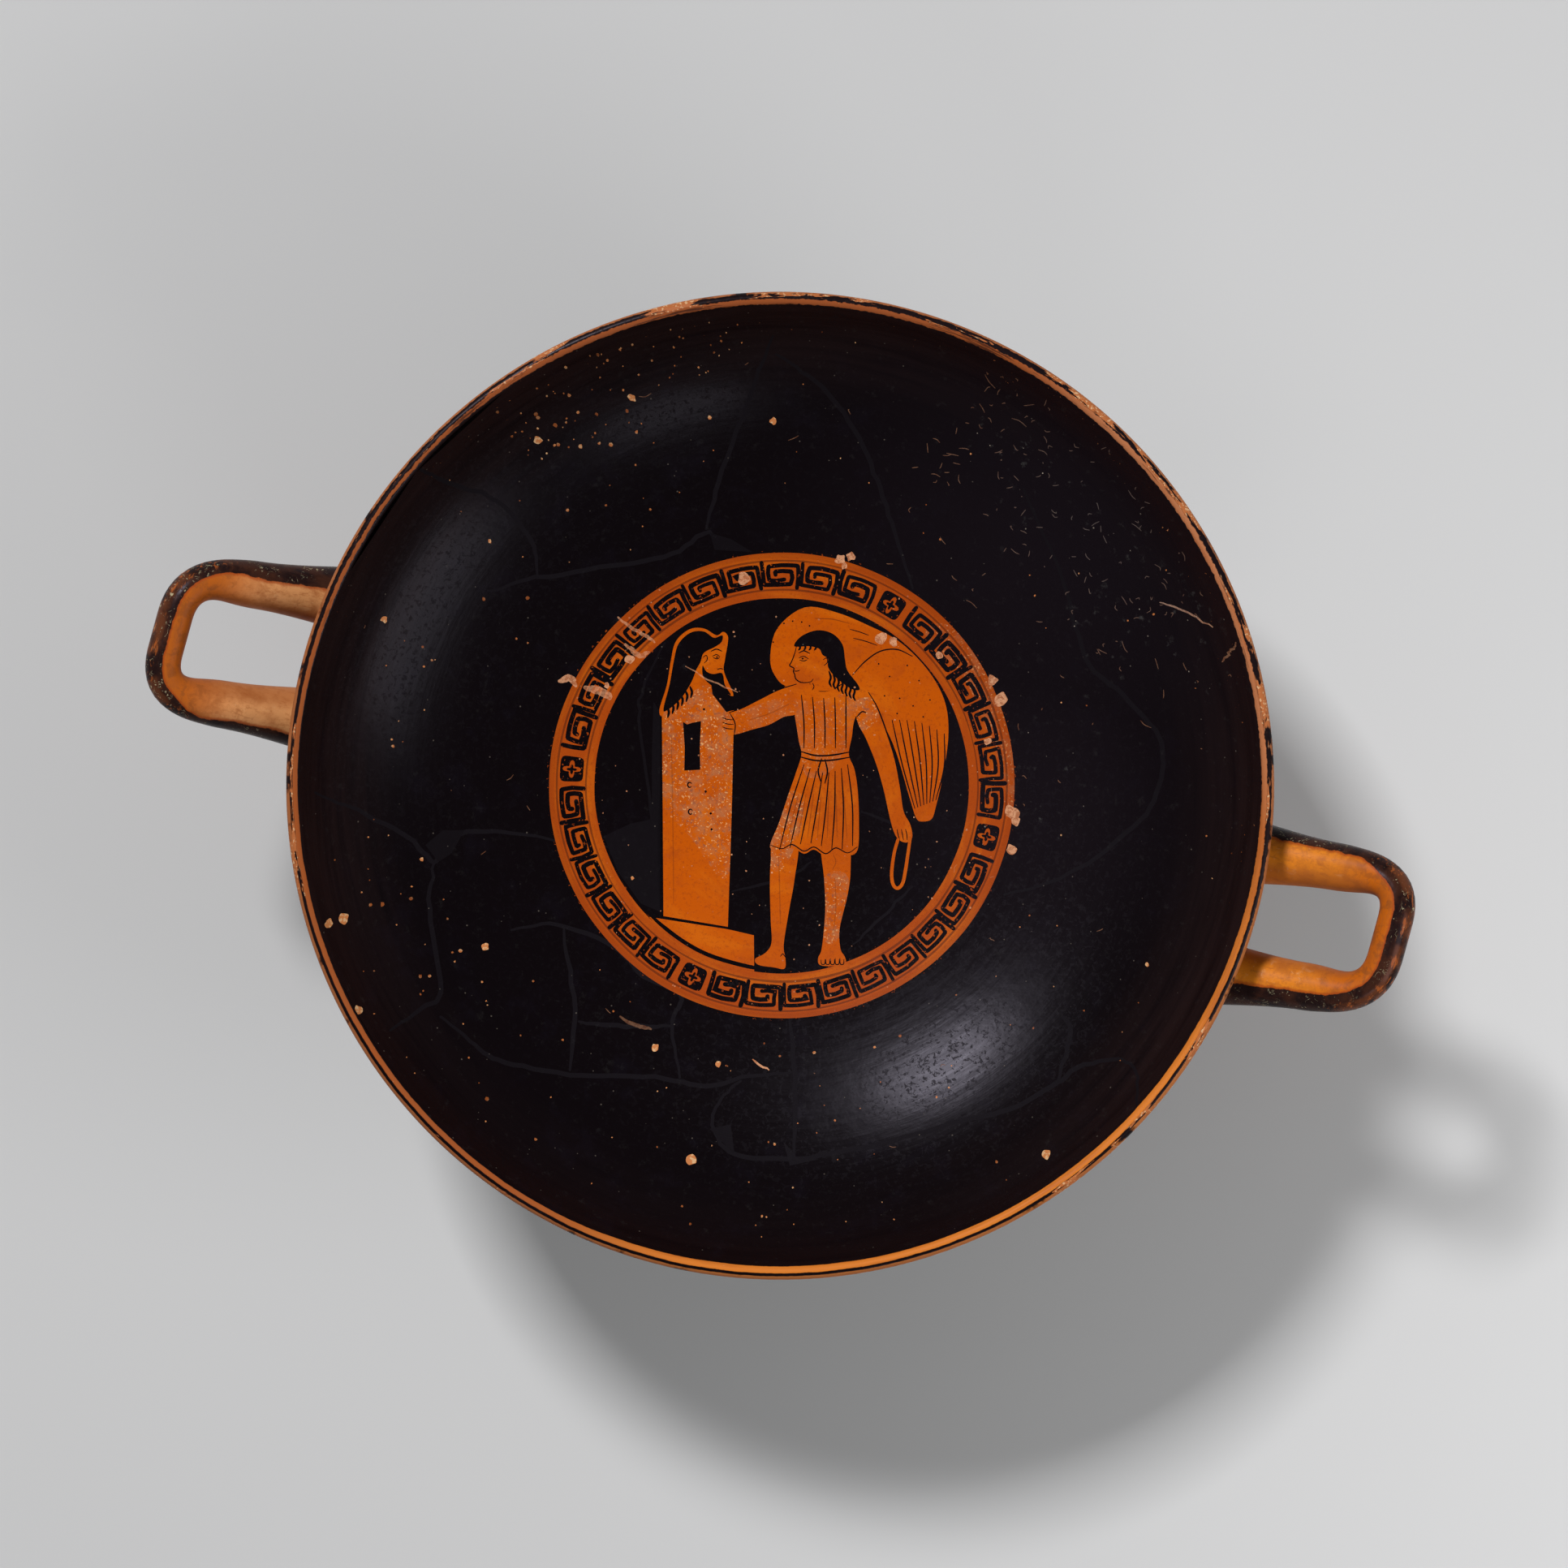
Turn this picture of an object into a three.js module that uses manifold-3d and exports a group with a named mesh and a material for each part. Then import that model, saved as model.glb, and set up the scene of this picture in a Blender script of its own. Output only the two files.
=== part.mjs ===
// A Greek drinking cup (kylix): a wide shallow bowl on a short hollow stem and a disc foot, with two
// looped handles that leave the wall almost level and turn up to the height of the rim.
// The bowl, the stemmed foot and the handles are potted apart, stuck together with slip and fired, so
// the finished cup is one solid of clay.
// Millimetres, +Z up. The origin is the middle of the foot's underside, and +X runs through a handle.
import * as THREE from "three";
import { mergeVertices } from "three/addons/utils/BufferGeometryUtils.js";
import Module from "manifold-3d";

// Bowl
const RIM_RADIUS = 115;
const HEIGHT = 87;
const FLOOR_HEIGHT = 46.5; // the middle of the bowl's inner surface
const RIM_WALL = 3.4; // wall thickness at the lip
const LOW_WALL = 4.8; // wall thickness where the bowl meets the stem
const BOWL_POWER = 2.25; // 2 is an ellipse, and more is flatter in the middle
const BOWL_REACH = 3.8; // how far outside the lip the inner curve would stand upright
const BOWL_STEPS = 12;
const LIP_STEPS = 3; // in each half of the rounded lip

// Stem and foot
const STEM_TOP_RADIUS = 25; // where the bowl's outer curve turns down into the stem
const WAIST_RADIUS = 11.5;
const WAIST_HEIGHT = 24;
const FOOT_RADIUS = 45.5;
const FOOT_EDGE = 7.5; // height of the foot's rounded edge
const REST_OUTER = 43; // the foot stands on a flat ring from this radius
const REST_INNER = 36; // to this one
const HOLLOW_NECK = 6.5; // radius of the hollow inside the stem
const HOLLOW_NECK_HEIGHT = 15;
const HOLLOW_TOP = 33;
const CURVE_STEPS = 6;

// Handles
const HANDLE_REACH = 150.5; // from the axis to the outside of the grip
const GRIP_RADIUS = 4.15; // half the thickness of the rod at the grip
const LEG_RADIUS = 5.6; // and in the legs
const ROOT_RADIUS = 8.6; // and where a leg meets the wall
const GRIP_HALF_WIDTH = 14.3; // from the handle's middle plane to a leg, at the grip
const ROOT_HALF_WIDTH = 15.3; // and at the root
const GRIP_CORNER = 10; // how much of each leg and of the grip is in the rounded corner
const GRIP_HEIGHT = 82;
const ROOT_HEIGHT = 61.5;
const ROOT_REACH = 70; // the rod first runs this deep into the bowl, and is then trimmed in its wall
const HANDLE_LEAN = 0.108; // how far each loop leans round the cup for each mm outwards
const LEG_LIFT_START = 90; // where the legs begin to turn up
const LEG_LIFT_POWER = 1.25;
const TAPER_LENGTH = 16; // the rod thickens from the grip over this distance
const FLARE_START = 131; // and again from here
const FLARE_END = 97; // to here
const HANDLE_STEPS = 32;
const HANDLE_SIDES = 12;

const TURN_STEPS = 64;
const CORE_MARGIN = 10; // how far the solid that trims the handles stands above the rim
const SMALL_TURN = 1e-4;

const innerRim = RIM_RADIUS - RIM_WALL;
const bowlRadius = innerRim + BOWL_REACH;
const rimTurn = turnAtRadius(innerRim);
const rimShare = 1 - Math.cos(rimTurn) ** (2 / BOWL_POWER);
const bowlDepth = (HEIGHT - RIM_WALL / 2 - FLOOR_HEIGHT) / rimShare;

function turnAtRadius(radius) {
  return Math.asin((radius / bowlRadius) ** (BOWL_POWER / 2));
}

// The bowl's inner curve is a superellipse, and a turn of 0 is its middle.
function innerPoint(turn) {
  const height = FLOOR_HEIGHT + bowlDepth * (1 - Math.cos(turn) ** (2 / BOWL_POWER));
  return new THREE.Vector2(bowlRadius * Math.sin(turn) ** (2 / BOWL_POWER), height);
}

// A point in the wall, from the inner face (share 0) to the outer one (share 1), square to the inner.
function wallPoint(turn, share) {
  const point = innerPoint(turn);
  if (turn < SMALL_TURN) return point.setY(point.y - LOW_WALL * share);
  const along = innerPoint(turn + SMALL_TURN).sub(innerPoint(turn - SMALL_TURN)).normalize();
  const wall = THREE.MathUtils.lerp(LOW_WALL, RIM_WALL, (point.x / innerRim) ** 2);
  return new THREE.Vector2(point.x + along.y * wall * share, point.y - along.x * wall * share);
}

// Points along the wall between two turns, at one share of its thickness.
function wallCurve(fromTurn, toTurn, share) {
  return Array.from({ length: BOWL_STEPS + 1 }, (_, i) =>
    wallPoint(THREE.MathUtils.lerp(fromTurn, toTurn, i / BOWL_STEPS), share),
  );
}

// The half-round lip, from the inner face of the wall over its crest to the outer face.
function lipCurve() {
  const inner = wallPoint(rimTurn, 0);
  const middle = wallPoint(rimTurn, 0.5);
  const inward = inner.clone().sub(middle);
  const upward = new THREE.Vector2(inward.y, -inward.x);
  return Array.from({ length: 2 * LIP_STEPS + 1 }, (_, i) => {
    const angle = (Math.PI / 2) * (i / LIP_STEPS);
    return middle
      .clone()
      .addScaledVector(inward, Math.cos(angle))
      .addScaledVector(upward, Math.sin(angle));
  });
}

function bezier(...points) {
  const corners = points.map(([radius, height]) => new THREE.Vector2(radius, height));
  return new THREE.CubicBezierCurve(...corners).getPoints(CURVE_STEPS);
}

// The stem's outside from the bowl to its waist, then the foot's top and its rounded edge.
function footCurve(top) {
  const stem = bezier(
    [top.x, top.y],
    [top.x * 0.6, top.y - 1.5],
    [WAIST_RADIUS, WAIST_HEIGHT + 8],
    [WAIST_RADIUS, WAIST_HEIGHT],
  );
  const footTop = bezier(
    [WAIST_RADIUS, WAIST_HEIGHT],
    [WAIST_RADIUS, WAIST_HEIGHT - 12],
    [WAIST_RADIUS + 10, FOOT_EDGE + 3],
    [FOOT_RADIUS - 3, FOOT_EDGE],
  );
  const footEdge = bezier(
    [FOOT_RADIUS - 3, FOOT_EDGE],
    [FOOT_RADIUS + 1, FOOT_EDGE - 0.6],
    [FOOT_RADIUS + 1, 1.2],
    [REST_OUTER, 0],
  );
  return [...stem.slice(1), ...footTop.slice(1), ...footEdge.slice(1)];
}

// The hollow under the foot: a shallow dish that narrows into the stem.
function hollowCurve() {
  const dish = bezier(
    [REST_INNER, 0],
    [REST_INNER - 9, 4.5],
    [HOLLOW_NECK + 3, 4.5],
    [HOLLOW_NECK, HOLLOW_NECK_HEIGHT],
  );
  const cone = bezier(
    [HOLLOW_NECK, HOLLOW_NECK_HEIGHT],
    [HOLLOW_NECK - 1, HOLLOW_TOP - 6],
    [HOLLOW_NECK - 2, HOLLOW_TOP],
    [0, HOLLOW_TOP],
  );
  return [...dish, ...cone.slice(1)];
}

// A solid of revolution about +Z, from an outline of (radius, height) that starts and ends on the axis
// and runs from its lower end round the outside to its upper end.
function turned(outline) {
  return new THREE.LatheGeometry(outline, TURN_STEPS).rotateX(Math.PI / 2);
}

function potOutline() {
  const inside = wallCurve(0, rimTurn, 0);
  const outside = wallCurve(rimTurn, turnAtRadius(STEM_TOP_RADIUS), 1);
  const upperHalf = [...inside, ...lipCurve().slice(1, -1), ...outside];
  return [...upperHalf, ...footCurve(outside.at(-1)), ...hollowCurve()].reverse();
}

// Everything inside the middle of the bowl's wall, up past the rim.
function coreOutline() {
  const wall = wallCurve(0, rimTurn, 0.5);
  const top = HEIGHT + CORE_MARGIN;
  return [...wall, new THREE.Vector2(wall.at(-1).x, top), new THREE.Vector2(0, top)];
}

const gripLine = HANDLE_REACH - GRIP_RADIUS;

// The height of a handle's middle line at a distance from the axis.
function handleHeight(x) {
  const share = Math.max(0, (x - LEG_LIFT_START) / (gripLine - LEG_LIFT_START));
  return ROOT_HEIGHT + (GRIP_HEIGHT - ROOT_HEIGHT) * share ** LEG_LIFT_POWER;
}

// The loop seen from above, before it leans: two legs, a little wider apart at the wall, and a grip with
// round corners.
function handlePlan() {
  const spread = (ROOT_HALF_WIDTH - GRIP_HALF_WIDTH) / (gripLine - ROOT_REACH);
  const legEnd = [gripLine - GRIP_CORNER, GRIP_HALF_WIDTH + spread * GRIP_CORNER];
  const gripEnd = [gripLine, GRIP_HALF_WIDTH - GRIP_CORNER];
  const points = (side, ...list) => list.map(([x, y]) => new THREE.Vector2(x, side * y));
  const corner = [gripLine, GRIP_HALF_WIDTH];
  const plan = new THREE.CurvePath();
  plan.add(new THREE.LineCurve(...points(-1, [ROOT_REACH, ROOT_HALF_WIDTH], legEnd)));
  plan.add(new THREE.QuadraticBezierCurve(...points(-1, legEnd, corner, gripEnd)));
  plan.add(new THREE.LineCurve(...points(-1, gripEnd), ...points(1, gripEnd)));
  plan.add(new THREE.QuadraticBezierCurve(...points(1, gripEnd, corner, legEnd)));
  plan.add(new THREE.LineCurve(...points(1, legEnd, [ROOT_REACH, ROOT_HALF_WIDTH])));
  return plan;
}

class HandleLoop extends THREE.Curve {
  plan = handlePlan();

  getPoint(share, target = new THREE.Vector3()) {
    const place = this.plan.getPoint(share);
    const lean = HANDLE_LEAN * (place.x - RIM_RADIUS);
    return target.set(place.x, place.y + lean, handleHeight(place.x));
  }
}

// The rod's half thickness at a distance from the axis: thin at the grip and thick at the wall.
function rodRadius(x) {
  const taper = THREE.MathUtils.smoothstep(gripLine - x, 0, TAPER_LENGTH);
  const flare = THREE.MathUtils.smoothstep(FLARE_START - x, 0, FLARE_START - FLARE_END);
  return GRIP_RADIUS + (LEG_RADIUS - GRIP_RADIUS) * taper + (ROOT_RADIUS - LEG_RADIUS) * flare;
}

// A rod 1 mm in radius is drawn along the loop, and its points are then moved straight out from the
// nearest station of the loop to the rod's real thickness there.
function handle() {
  const loop = new HandleLoop();
  const circle = new THREE.Shape().absarc(0, 0, 1, 0, 2 * Math.PI);
  const section = new THREE.Shape(circle.getSpacedPoints(HANDLE_SIDES).slice(0, -1));
  const rod = new THREE.ExtrudeGeometry(section, { steps: HANDLE_STEPS, extrudePath: loop });
  const stations = loop.getSpacedPoints(HANDLE_STEPS);
  const position = rod.getAttribute("position");
  const point = new THREE.Vector3();
  for (let i = 0; i < position.count; i++) {
    point.fromBufferAttribute(position, i);
    const distances = stations.map((station) => station.distanceTo(point));
    const station = stations[distances.indexOf(Math.min(...distances))];
    point.sub(station).multiplyScalar(rodRadius(station.x)).add(station);
    position.setXYZ(i, point.x, point.y, point.z);
  }
  return rod;
}

const wasm = await Module();
wasm.setup();

// A closed geometry as a solid that can be joined and cut.
function solid(geometry) {
  const bare = geometry.clone();
  bare.deleteAttribute("normal");
  bare.deleteAttribute("uv");
  const merged = mergeVertices(bare);
  const mesh = new wasm.Mesh({
    numProp: 3,
    vertProperties: merged.getAttribute("position").array,
    triVerts: Uint32Array.from(merged.getIndex().array),
  });
  return new wasm.Manifold(mesh);
}

function geometryOf(made) {
  const mesh = made.getMesh();
  const geometry = new THREE.BufferGeometry();
  geometry.setAttribute("position", new THREE.BufferAttribute(mesh.vertProperties, 3));
  geometry.setIndex(new THREE.BufferAttribute(mesh.triVerts, 1));
  geometry.computeVertexNormals();
  return geometry;
}

function firedCup() {
  const core = solid(turned(coreOutline()));
  const rightHandle = solid(handle()).subtract(core);
  const leftHandle = solid(handle().rotateZ(Math.PI)).subtract(core);
  return solid(turned(potOutline())).add(rightHandle).add(leftHandle);
}

const blackGlaze = new THREE.MeshStandardMaterial({ color: 0x17131a, roughness: 0.28 });

const cup = new THREE.Mesh(geometryOf(firedCup()), blackGlaze);
cup.name = "kylix";

const group = new THREE.Group();
group.add(cup);

export default group;
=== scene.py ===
"""A Greek red-figure kylix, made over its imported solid: a shallow black-glazed bowl on a stem and foot,
with a picture in its floor, a border of meanders round it and two looped handles.

Sizes are in millimetres until a mesh is made, which is in metres. The cup stands on its foot at the
origin, +Z is up, and +X runs through the middle of a handle.
"""

import math

import bpy
import numpy as np
from mathutils import Matrix, Vector
from mathutils.geometry import delaunay_2d_cdt


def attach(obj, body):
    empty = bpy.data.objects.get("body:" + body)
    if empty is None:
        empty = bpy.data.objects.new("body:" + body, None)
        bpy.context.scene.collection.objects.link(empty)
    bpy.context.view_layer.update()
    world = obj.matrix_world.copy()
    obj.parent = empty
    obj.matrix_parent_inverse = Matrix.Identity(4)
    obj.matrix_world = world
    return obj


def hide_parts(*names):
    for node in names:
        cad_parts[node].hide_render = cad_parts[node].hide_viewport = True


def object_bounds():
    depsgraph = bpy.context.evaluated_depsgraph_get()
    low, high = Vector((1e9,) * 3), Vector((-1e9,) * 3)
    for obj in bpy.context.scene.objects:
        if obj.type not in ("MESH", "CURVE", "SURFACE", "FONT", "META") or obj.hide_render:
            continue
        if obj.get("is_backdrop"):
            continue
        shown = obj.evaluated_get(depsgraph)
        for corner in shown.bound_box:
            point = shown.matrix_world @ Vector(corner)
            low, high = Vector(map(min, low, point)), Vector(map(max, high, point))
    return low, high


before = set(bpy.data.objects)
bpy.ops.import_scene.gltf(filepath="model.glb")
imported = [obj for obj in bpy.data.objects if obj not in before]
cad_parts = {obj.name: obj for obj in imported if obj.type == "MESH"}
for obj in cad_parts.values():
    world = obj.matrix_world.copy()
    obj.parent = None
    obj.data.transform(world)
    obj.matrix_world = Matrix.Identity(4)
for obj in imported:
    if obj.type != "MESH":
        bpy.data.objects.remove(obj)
solid_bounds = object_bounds()

# ---------------------------------------------------------------------------------------------------
# The studio: a camera straight above the cup, a plain pale floor and soft light.
# The cup is seen with one handle a little below the level, so the camera is turned about its own axis.

MM = 0.001
RIM_HEIGHT = 86.2
VIEW_TURN = math.radians(15.35)  # from the sight's own right-hand side round to the handle's axis
CAMERA_ABOVE_RIM = 1500.0
FRAME_WIDTH = 364.0  # what the camera takes in at the height of the rim
SENSOR = 36.0
PARALLAX = 18.0  # the camera stands this far to the side of the cup's axis
AIM = (-0.9, -0.4)  # where the rim's middle is in the frame, from the frame's middle


def in_sight(right, up):
    """A place given to the right of and above the cup's axis in the view from the camera, as x and y:
    the pair turned about +Z by the view's turn."""
    cosine, sine = math.cos(VIEW_TURN), math.sin(VIEW_TURN)
    return right * cosine - up * sine, right * sine + up * cosine


camera = bpy.data.objects.new("camera", bpy.data.cameras.new("camera"))
camera.data.sensor_width = SENSOR
camera.data.lens = SENSOR * CAMERA_ABOVE_RIM / FRAME_WIDTH
camera.data.shift_x = -(PARALLAX + AIM[0]) / FRAME_WIDTH
camera.data.shift_y = -AIM[1] / FRAME_WIDTH
camera.matrix_world = (
    Matrix.Translation(Vector((*in_sight(PARALLAX, 0), RIM_HEIGHT + CAMERA_ABOVE_RIM)) * MM)
    @ Matrix.Rotation(VIEW_TURN, 4, "Z")
)
bpy.context.collection.objects.link(camera)
bpy.context.scene.camera = camera

FLOOR_HALF = 3.0  # in metres, as are the lights' places
PAPER = (0.527, 0.529, 0.533)
floor_mesh = bpy.data.meshes.new("floor")
corners = [(-FLOOR_HALF, -FLOOR_HALF, 0), (FLOOR_HALF, -FLOOR_HALF, 0)]
corners += [(FLOOR_HALF, FLOOR_HALF, 0), (-FLOOR_HALF, FLOOR_HALF, 0)]
floor_mesh.from_pydata(corners, [], [(0, 1, 2, 3)])
floor = bpy.data.objects.new("floor", floor_mesh)
bpy.context.collection.objects.link(floor)
paper = bpy.data.materials.new("pale paper")
paper.use_nodes = True
matt = paper.node_tree.nodes["Principled BSDF"]
matt.inputs["Base Color"].default_value = (*PAPER, 1)
matt.inputs["Roughness"].default_value = 0.9
floor_mesh.materials.append(paper)
floor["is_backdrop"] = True


def soft_light(name, bearing, elevation, distance, size, watts, colour):
    """A light panel that looks at the cup from a bearing in the view (0 is right, 90 is up), at an
    elevation above the floor. Angles are in degrees, and distance and size (width, height) in metres."""
    lamp = bpy.data.objects.new(name, bpy.data.lights.new(name, "AREA"))
    lamp.data.shape = "RECTANGLE"
    lamp.data.size, lamp.data.size_y = size
    lamp.data.energy = watts
    lamp.data.color = colour
    flat = math.cos(math.radians(elevation))
    turn = math.radians(bearing)
    x, y = in_sight(math.cos(turn) * flat, math.sin(turn) * flat)
    away = Vector((x, y, math.sin(math.radians(elevation))))
    lamp.location = away * distance
    lamp.rotation_euler = away.to_track_quat("Z", "Y").to_euler()
    bpy.context.collection.objects.link(lamp)


soft_light("key", 121, 51.5, 3.2, (0.6, 0.52), 97, (1.0, 0.995, 0.995))
soft_light("fill from the right", -26, 34, 0.7, (0.34, 0.3), 1.9, (1.0, 0.995, 0.99))
soft_light("fill from below", -74, 34, 1.8, (0.5, 0.3), 3.2, (1.0, 0.995, 0.99))
world = bpy.data.worlds.new("studio")
world.use_nodes = True
world.node_tree.nodes["Background"].inputs["Color"].default_value = (0.98, 0.99, 1.0, 1)
world.node_tree.nodes["Background"].inputs["Strength"].default_value = 0.14
bpy.context.scene.world = world
bpy.context.scene.view_settings.view_transform = "Standard"

# ---------------------------------------------------------------------------------------------------
# The cup: fine orange clay, thrown on a wheel. The bowl, its stemmed foot and its two rolled handles
# were stuck together with slip and fired as one, so one mesh stands for the one solid.

RIM_RADIUS = 115.0
LIP_HEIGHT = 87.0
FLOOR_HEIGHT = 46.5
RIM_WALL = 3.4
LOW_WALL = 4.8
BOWL_POWER = 2.25
BOWL_REACH = 3.8  # how far outside the rim the inner face's curve would stand upright
INNER_RIM = RIM_RADIUS - RIM_WALL
BOWL_RADIUS = INNER_RIM + BOWL_REACH
RIM_SHARE = 1 - (1 - (INNER_RIM / BOWL_RADIUS) ** BOWL_POWER) ** (1 / BOWL_POWER)
BOWL_DEPTH = (LIP_HEIGHT - RIM_WALL / 2 - FLOOR_HEIGHT) / RIM_SHARE


def inner_height(radius):
    """The height of the bowl's inner face: a superellipse, z = floor + depth (1 - (1 - s^p)^(1/p)) with
    s the radius over the curve's full radius."""
    share = (np.asarray(radius, float) / BOWL_RADIUS) ** BOWL_POWER
    return FLOOR_HEIGHT + BOWL_DEPTH * (1 - (1 - share) ** (1 / BOWL_POWER))


def wall_point(radius, share):
    """Points (radius, height) in the wall, moved out square from the inner face by a share of the
    wall's thickness, which falls with the square of the radius."""
    step = 0.01
    radius = np.asarray(radius, float)
    slope = (inner_height(radius + step) - inner_height(np.maximum(radius - step, 0))) / (2 * step)
    slope = np.where(radius < step, 0, slope)
    tilt = np.arctan(slope)
    wall = (LOW_WALL + (RIM_WALL - LOW_WALL) * (radius / INNER_RIM) ** 2) * share
    return np.stack([radius + np.sin(tilt) * wall, inner_height(radius) - np.cos(tilt) * wall], -1)


STEM_TOP = 25.0  # the radius at which the wall turns into the stem
WAIST = (11.5, 24.0)  # the radius and height of the stem's thinnest place
FOOT_RADIUS = 45.5
FOOT_EDGE = 7.5
REST = (36.0, 43.0)  # the inner and outer radius of the ring that the cup stands on
NECK = (6.5, 15.0)  # the radius and height at which the hollow narrows
HOLLOW_TOP = 33.0
LIP_STEPS = 14
WALL_STEPS = 46
CURVE_STEPS = 11
ARC_SAMPLES = 2000


def bezier(*corners):
    """A cubic Bezier curve through its first and last corners, as evenly stepped points."""
    t = np.linspace(0, 1, CURVE_STEPS + 1)[:, None]
    a, b, c, d = np.array(corners, float)
    return (1 - t) ** 3 * a + 3 * (1 - t) ** 2 * t * b + 3 * (1 - t) * t**2 * c + t**3 * d


def outside_profile():
    """The cup's outline from the upper edge of the bowl's inner face, over the half-round lip, down the
    outer face, the stem and the foot, across the ring it stands on, and up the hollow to the axis."""
    inner = wall_point(INNER_RIM, 0)
    middle = wall_point(INNER_RIM, 0.5)
    inward = inner - middle
    upward = np.array([inward[1], -inward[0]])
    angle = np.linspace(0, math.pi, LIP_STEPS + 1)[:, None]
    lip = middle + np.cos(angle) * inward + np.sin(angle) * upward
    # evenly spaced along the wall's arc, by length
    radii = np.linspace(INNER_RIM, STEM_TOP, ARC_SAMPLES)
    wall = wall_point(radii, 1)
    run = np.append(0, np.cumsum(np.hypot(*np.diff(wall, axis=0).T)))
    even = np.linspace(0, run[-1], WALL_STEPS + 1)
    wall = np.stack([np.interp(even, run, wall[:, 0]), np.interp(even, run, wall[:, 1])], -1)
    top = wall[-1]
    stem = bezier(top, (top[0] * 0.6, top[1] - 1.5), (WAIST[0], WAIST[1] + 8), WAIST)
    instep = (WAIST[0] + 10, FOOT_EDGE + 3)
    foot = bezier(WAIST, (WAIST[0], WAIST[1] - 12), instep, (FOOT_RADIUS - 3, FOOT_EDGE))
    edge = bezier(foot[-1], (FOOT_RADIUS + 1, FOOT_EDGE - 0.6), (FOOT_RADIUS + 1, 1.2), (REST[1], 0))
    dish = bezier((REST[0], 0), (REST[0] - 9, 4.5), (NECK[0] + 3, 4.5), NECK)
    cone = bezier(NECK, (NECK[0] - 1, HOLLOW_TOP - 6), (NECK[0] - 2, HOLLOW_TOP), (0, HOLLOW_TOP))
    return np.concatenate([lip, wall[1:], stem[1:], foot[1:], edge[1:], dish, cone[1:]])


TURNS = 384  # columns round the cup
turn = np.arange(TURNS) * (2 * math.pi / TURNS)


def lathe(profile):
    """A grid of points round +Z from a profile of (radius, height): (r cos a, r sin a, z). The last
    point of the profile is on the axis and is made only once. Returns vertices and faces that look
    outwards when the profile runs over the lip, down the outside and in under the foot."""
    rings = profile[:-1]
    x = rings[:, :1] * np.cos(turn)
    y = rings[:, :1] * np.sin(turn)
    z = np.broadcast_to(rings[:, 1:], x.shape)
    vertices = np.stack([x, y, z], -1).reshape(-1, 3)
    row, column = np.meshgrid(np.arange(len(rings) - 1), np.arange(TURNS), indexing="ij")
    here = row * TURNS + column
    beside = row * TURNS + (column + 1) % TURNS
    quads = np.stack([here, here + TURNS, beside + TURNS, beside], -1).reshape(-1, 4)
    tip = len(vertices)
    vertices = np.append(vertices, [[0, 0, profile[-1, 1]]], axis=0)
    last = (len(rings) - 1) * TURNS + np.arange(TURNS)
    fan = np.stack([last, np.full(TURNS, tip), np.roll(last, -1)], -1)
    return vertices, quads, fan


# ---------------------------------------------------------------------------------------------------
# The painting in the bowl: black glaze brushed round shapes left in the clay's own orange, with inner
# lines in black and in thinned glaze. Each brush mark and each shape is an outline that is cut into
# the mesh of the bowl's inner face, so its edge is as sharp as a brush leaves it.

PAINT_LAYERS = ("reserved", "thinned", "weathered", "lost", "mended", "crusted")
brush_marks = []  # painted in this order, each over the ones before
hand = np.random.default_rng(7)


def paint(layer, amount, edges, covers):
    """Adds a mark: which layer it sets and to what, its closed outlines, and a function that says which
    of an array of points it covers."""
    brush_marks.append((layer, amount, edges, covers))


def spline(points, closed, steps=5):
    """A Catmull-Rom curve through points, with that many steps between each pair."""
    p = np.array(points, float)
    if closed:
        p = np.concatenate([p[-1:], p, p[:2]])
    else:
        p = np.concatenate([2 * p[:1] - p[1:2], p, 2 * p[-1:] - p[-2:-1]])
    t = np.linspace(0, 1, steps, endpoint=False)[:, None, None]
    a, b, c, d = p[:-3], p[1:-2], p[2:-1], p[3:]
    curve = 2 * b + (c - a) * t + (2 * a - 5 * b + 4 * c - d) * t**2 + (3 * b - a - 3 * c + d) * t**3
    curve = 0.5 * curve.transpose(1, 0, 2).reshape(-1, 2)
    return curve if closed else np.concatenate([curve, p[-2:-1]])


def inside(outline, points):
    """True where a point has an odd number of the outline's edges to its right."""
    start, end = outline, np.roll(outline, -1, axis=0)
    x, y = points[:, :1], points[:, 1:]
    crosses = (start[:, 1] > y) != (end[:, 1] > y)
    rise = np.where(end[:, 1] == start[:, 1], 1, end[:, 1] - start[:, 1])
    at = start[:, 0] + (y - start[:, 1]) / rise * (end[:, 0] - start[:, 0])
    return (np.sum(crosses & (x < at), axis=1) % 2).astype(bool)


def picture_to_cup(points):
    """Turns a place in the picture, to the right of and above its middle, into x and y of the cup."""
    p = np.asarray(points, float)
    return np.stack(in_sight(p[..., 0], p[..., 1]), -1)


def shape(points, layer="reserved", amount=1.0, smooth=True, place=picture_to_cup):
    """A filled shape with a smooth or a straight-sided outline."""
    outline = place(spline(points, True) if smooth else points)
    paint(layer, amount, [outline], lambda p: inside(outline, p))


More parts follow.
